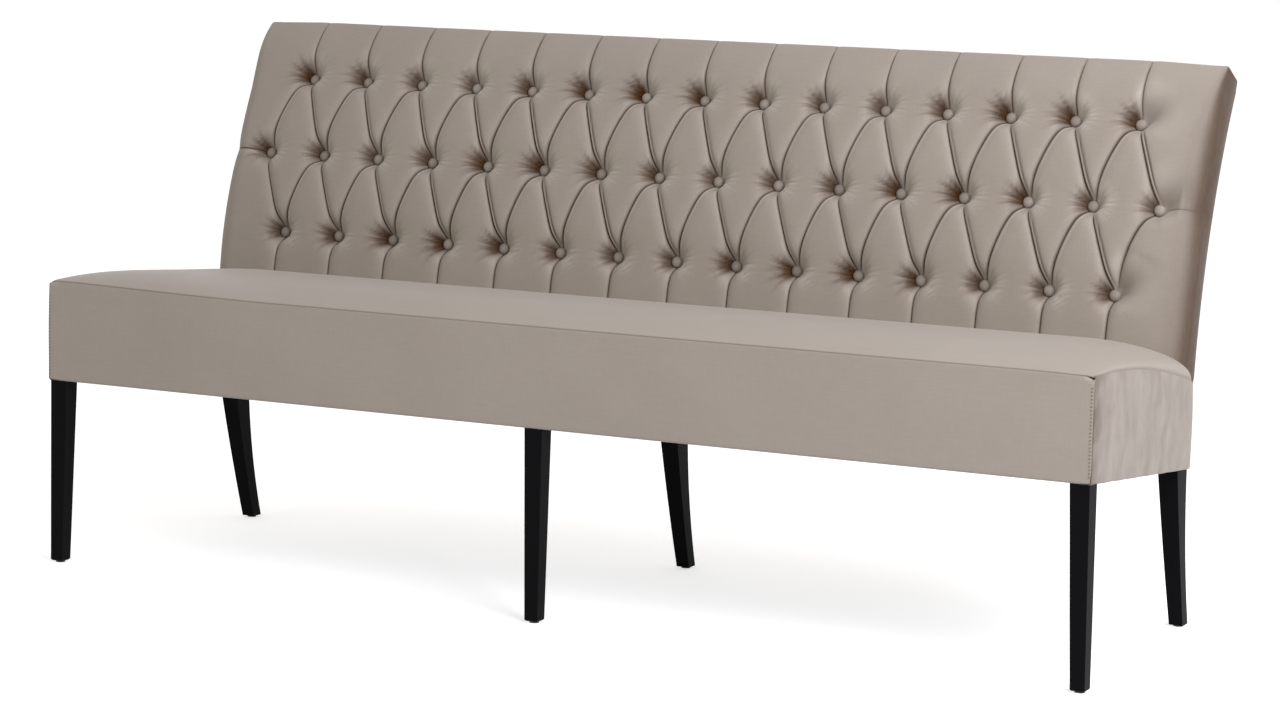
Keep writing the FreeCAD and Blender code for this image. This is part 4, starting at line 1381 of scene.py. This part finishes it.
def choose_if_seen(tree, otherwise, seen, output):
    """Show one shader to the rays that see it and another to the rest."""
    choose = tree.nodes.new("ShaderNodeMixShader")
    tree.links.new(seen_by(tree), choose.inputs["Fac"])
    tree.links.new(otherwise, choose.inputs[1])
    tree.links.new(seen, choose.inputs[2])
    tree.links.new(choose.outputs["Shader"], tree.nodes[output].inputs["Surface"])


floor_corners = [(x * floor_half, y * floor_half, 0) for x, y in ((-1, -1), (1, -1), (1, 1), (-1, 1))]
floor_mesh = bpy.data.meshes.new("floor")
floor_mesh.from_pydata(floor_corners, [], [(0, 1, 2, 3)])
floor = bpy.data.objects.new("floor", floor_mesh)
bpy.context.scene.collection.objects.link(floor)
floor_material = new_material("floor_white", (floor_white,) * 3, 0.9)
floor_tree = floor_material.node_tree
bare_floor = principled(floor_material).outputs["BSDF"]
glow = floor_tree.nodes.new("ShaderNodeEmission")
glow.inputs["Strength"].default_value = 1 - floor_white * ambient_level
lifted = floor_tree.nodes.new("ShaderNodeAddShader")
floor_tree.links.new(bare_floor, lifted.inputs[0])
floor_tree.links.new(glow.outputs["Emission"], lifted.inputs[1])
choose_if_seen(floor_tree, bare_floor, lifted.outputs["Shader"], "Material Output")
floor_mesh.materials.append(floor_material)
floor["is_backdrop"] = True
print("glow added to the floor:", round(1 - floor_white * ambient_level, 3))

# %% [markdown]
# ## The surroundings
# Behind the bench everything is white. A plain white world would flood the cloth with light and
# wash out its folds, so only rays from the camera, or by way of metal or glass, meet pure white;
# all others meet a dimmer, slightly warm grey.

# %% Surroundings
scene = bpy.context.scene
scene.view_settings.view_transform = "Standard"
world = bpy.data.worlds.new("studio")
scene.world = world
world.use_nodes = True
world_tree = world.node_tree
backdrop = world_tree.nodes["Background"]
backdrop.inputs["Color"].default_value = (1, 1, 1, 1)
ambient = world_tree.nodes.new("ShaderNodeBackground")
ambient.inputs["Color"].default_value = (1.0, 0.975, 0.94, 1)
ambient.inputs["Strength"].default_value = ambient_level
choose_if_seen(world_tree, ambient.outputs["Background"], backdrop.outputs["Background"], "World Output")
print("backdrop strength:", backdrop.inputs["Strength"].default_value, "ambient:", ambient_level)

# %% [markdown]
# ## The lamps
# Velvet shows its folds under soft light from one side. A sun would cut hard shadows, so large
# area lights are used: a cool one in front on the right, a cool one above, and a weak warm one on
# the left that keeps the shaded side readable.

# %% Lamps
def soft_light(name, position, target, size, power, colour):
    """A square area light that looks at a target."""
    lamp = bpy.data.lights.new(name, "AREA")
    lamp.color = colour
    lamp.size = size
    lamp.energy = power
    holder = bpy.data.objects.new(name, lamp)
    scene.collection.objects.link(holder)
    holder.location = position
    holder.rotation_euler = (Vector(target) - Vector(position)).to_track_quat("-Z", "Y").to_euler()


cool, cool_top, warm = (0.945, 0.965, 1.05), (0.945, 0.965, 1.06), (1.0, 0.98, 0.95)
soft_light("key", (3.7, -2.7, 2.9), target=(0.5, 0.0, 0.5), size=2.0, power=168, colour=cool)
soft_light("fill", (-3.5, -4.5, 2.6), target=(0.0, 0.0, 0.5), size=3.0, power=30, colour=warm)
soft_light("top", (2.3, -0.4, 3.2), target=(1.0, 0.0, 0.45), size=1.6, power=60, colour=cool_top)

# %% [markdown]
# ## The camera
# The camera has a long lens and looks slightly down at the bench from the right-hand front. A
# Track To constraint could aim it, but then it could not be rolled freely; from three angles we
# build its own right, up and backward directions instead.

# %% Camera
eye = Vector((2.7775, -5.472, 1.2248))
yaw, pitch, roll = 0.4679, -0.1347, 0.0226
right = Vector((math.cos(yaw), math.sin(yaw), 0))
ahead = Vector((-math.sin(yaw) * math.cos(pitch), math.cos(yaw) * math.cos(pitch), math.sin(pitch)))
up = right.cross(ahead)
tilted_right = math.cos(roll) * right + math.sin(roll) * up
tilted_up = math.cos(roll) * up - math.sin(roll) * right
turned = Matrix((tilted_right, tilted_up, -ahead)).transposed().to_4x4()
camera_data = bpy.data.cameras.new("camera")
camera_data.lens = 103.0
camera_data.sensor_width = 36.0
camera = bpy.data.objects.new("camera", camera_data)
scene.collection.objects.link(camera)
camera.matrix_world = Matrix.Translation(eye) @ turned
scene.camera = camera
print("camera", round(eye.length, 2), "m from the middle of the bench, lens", camera_data.lens)
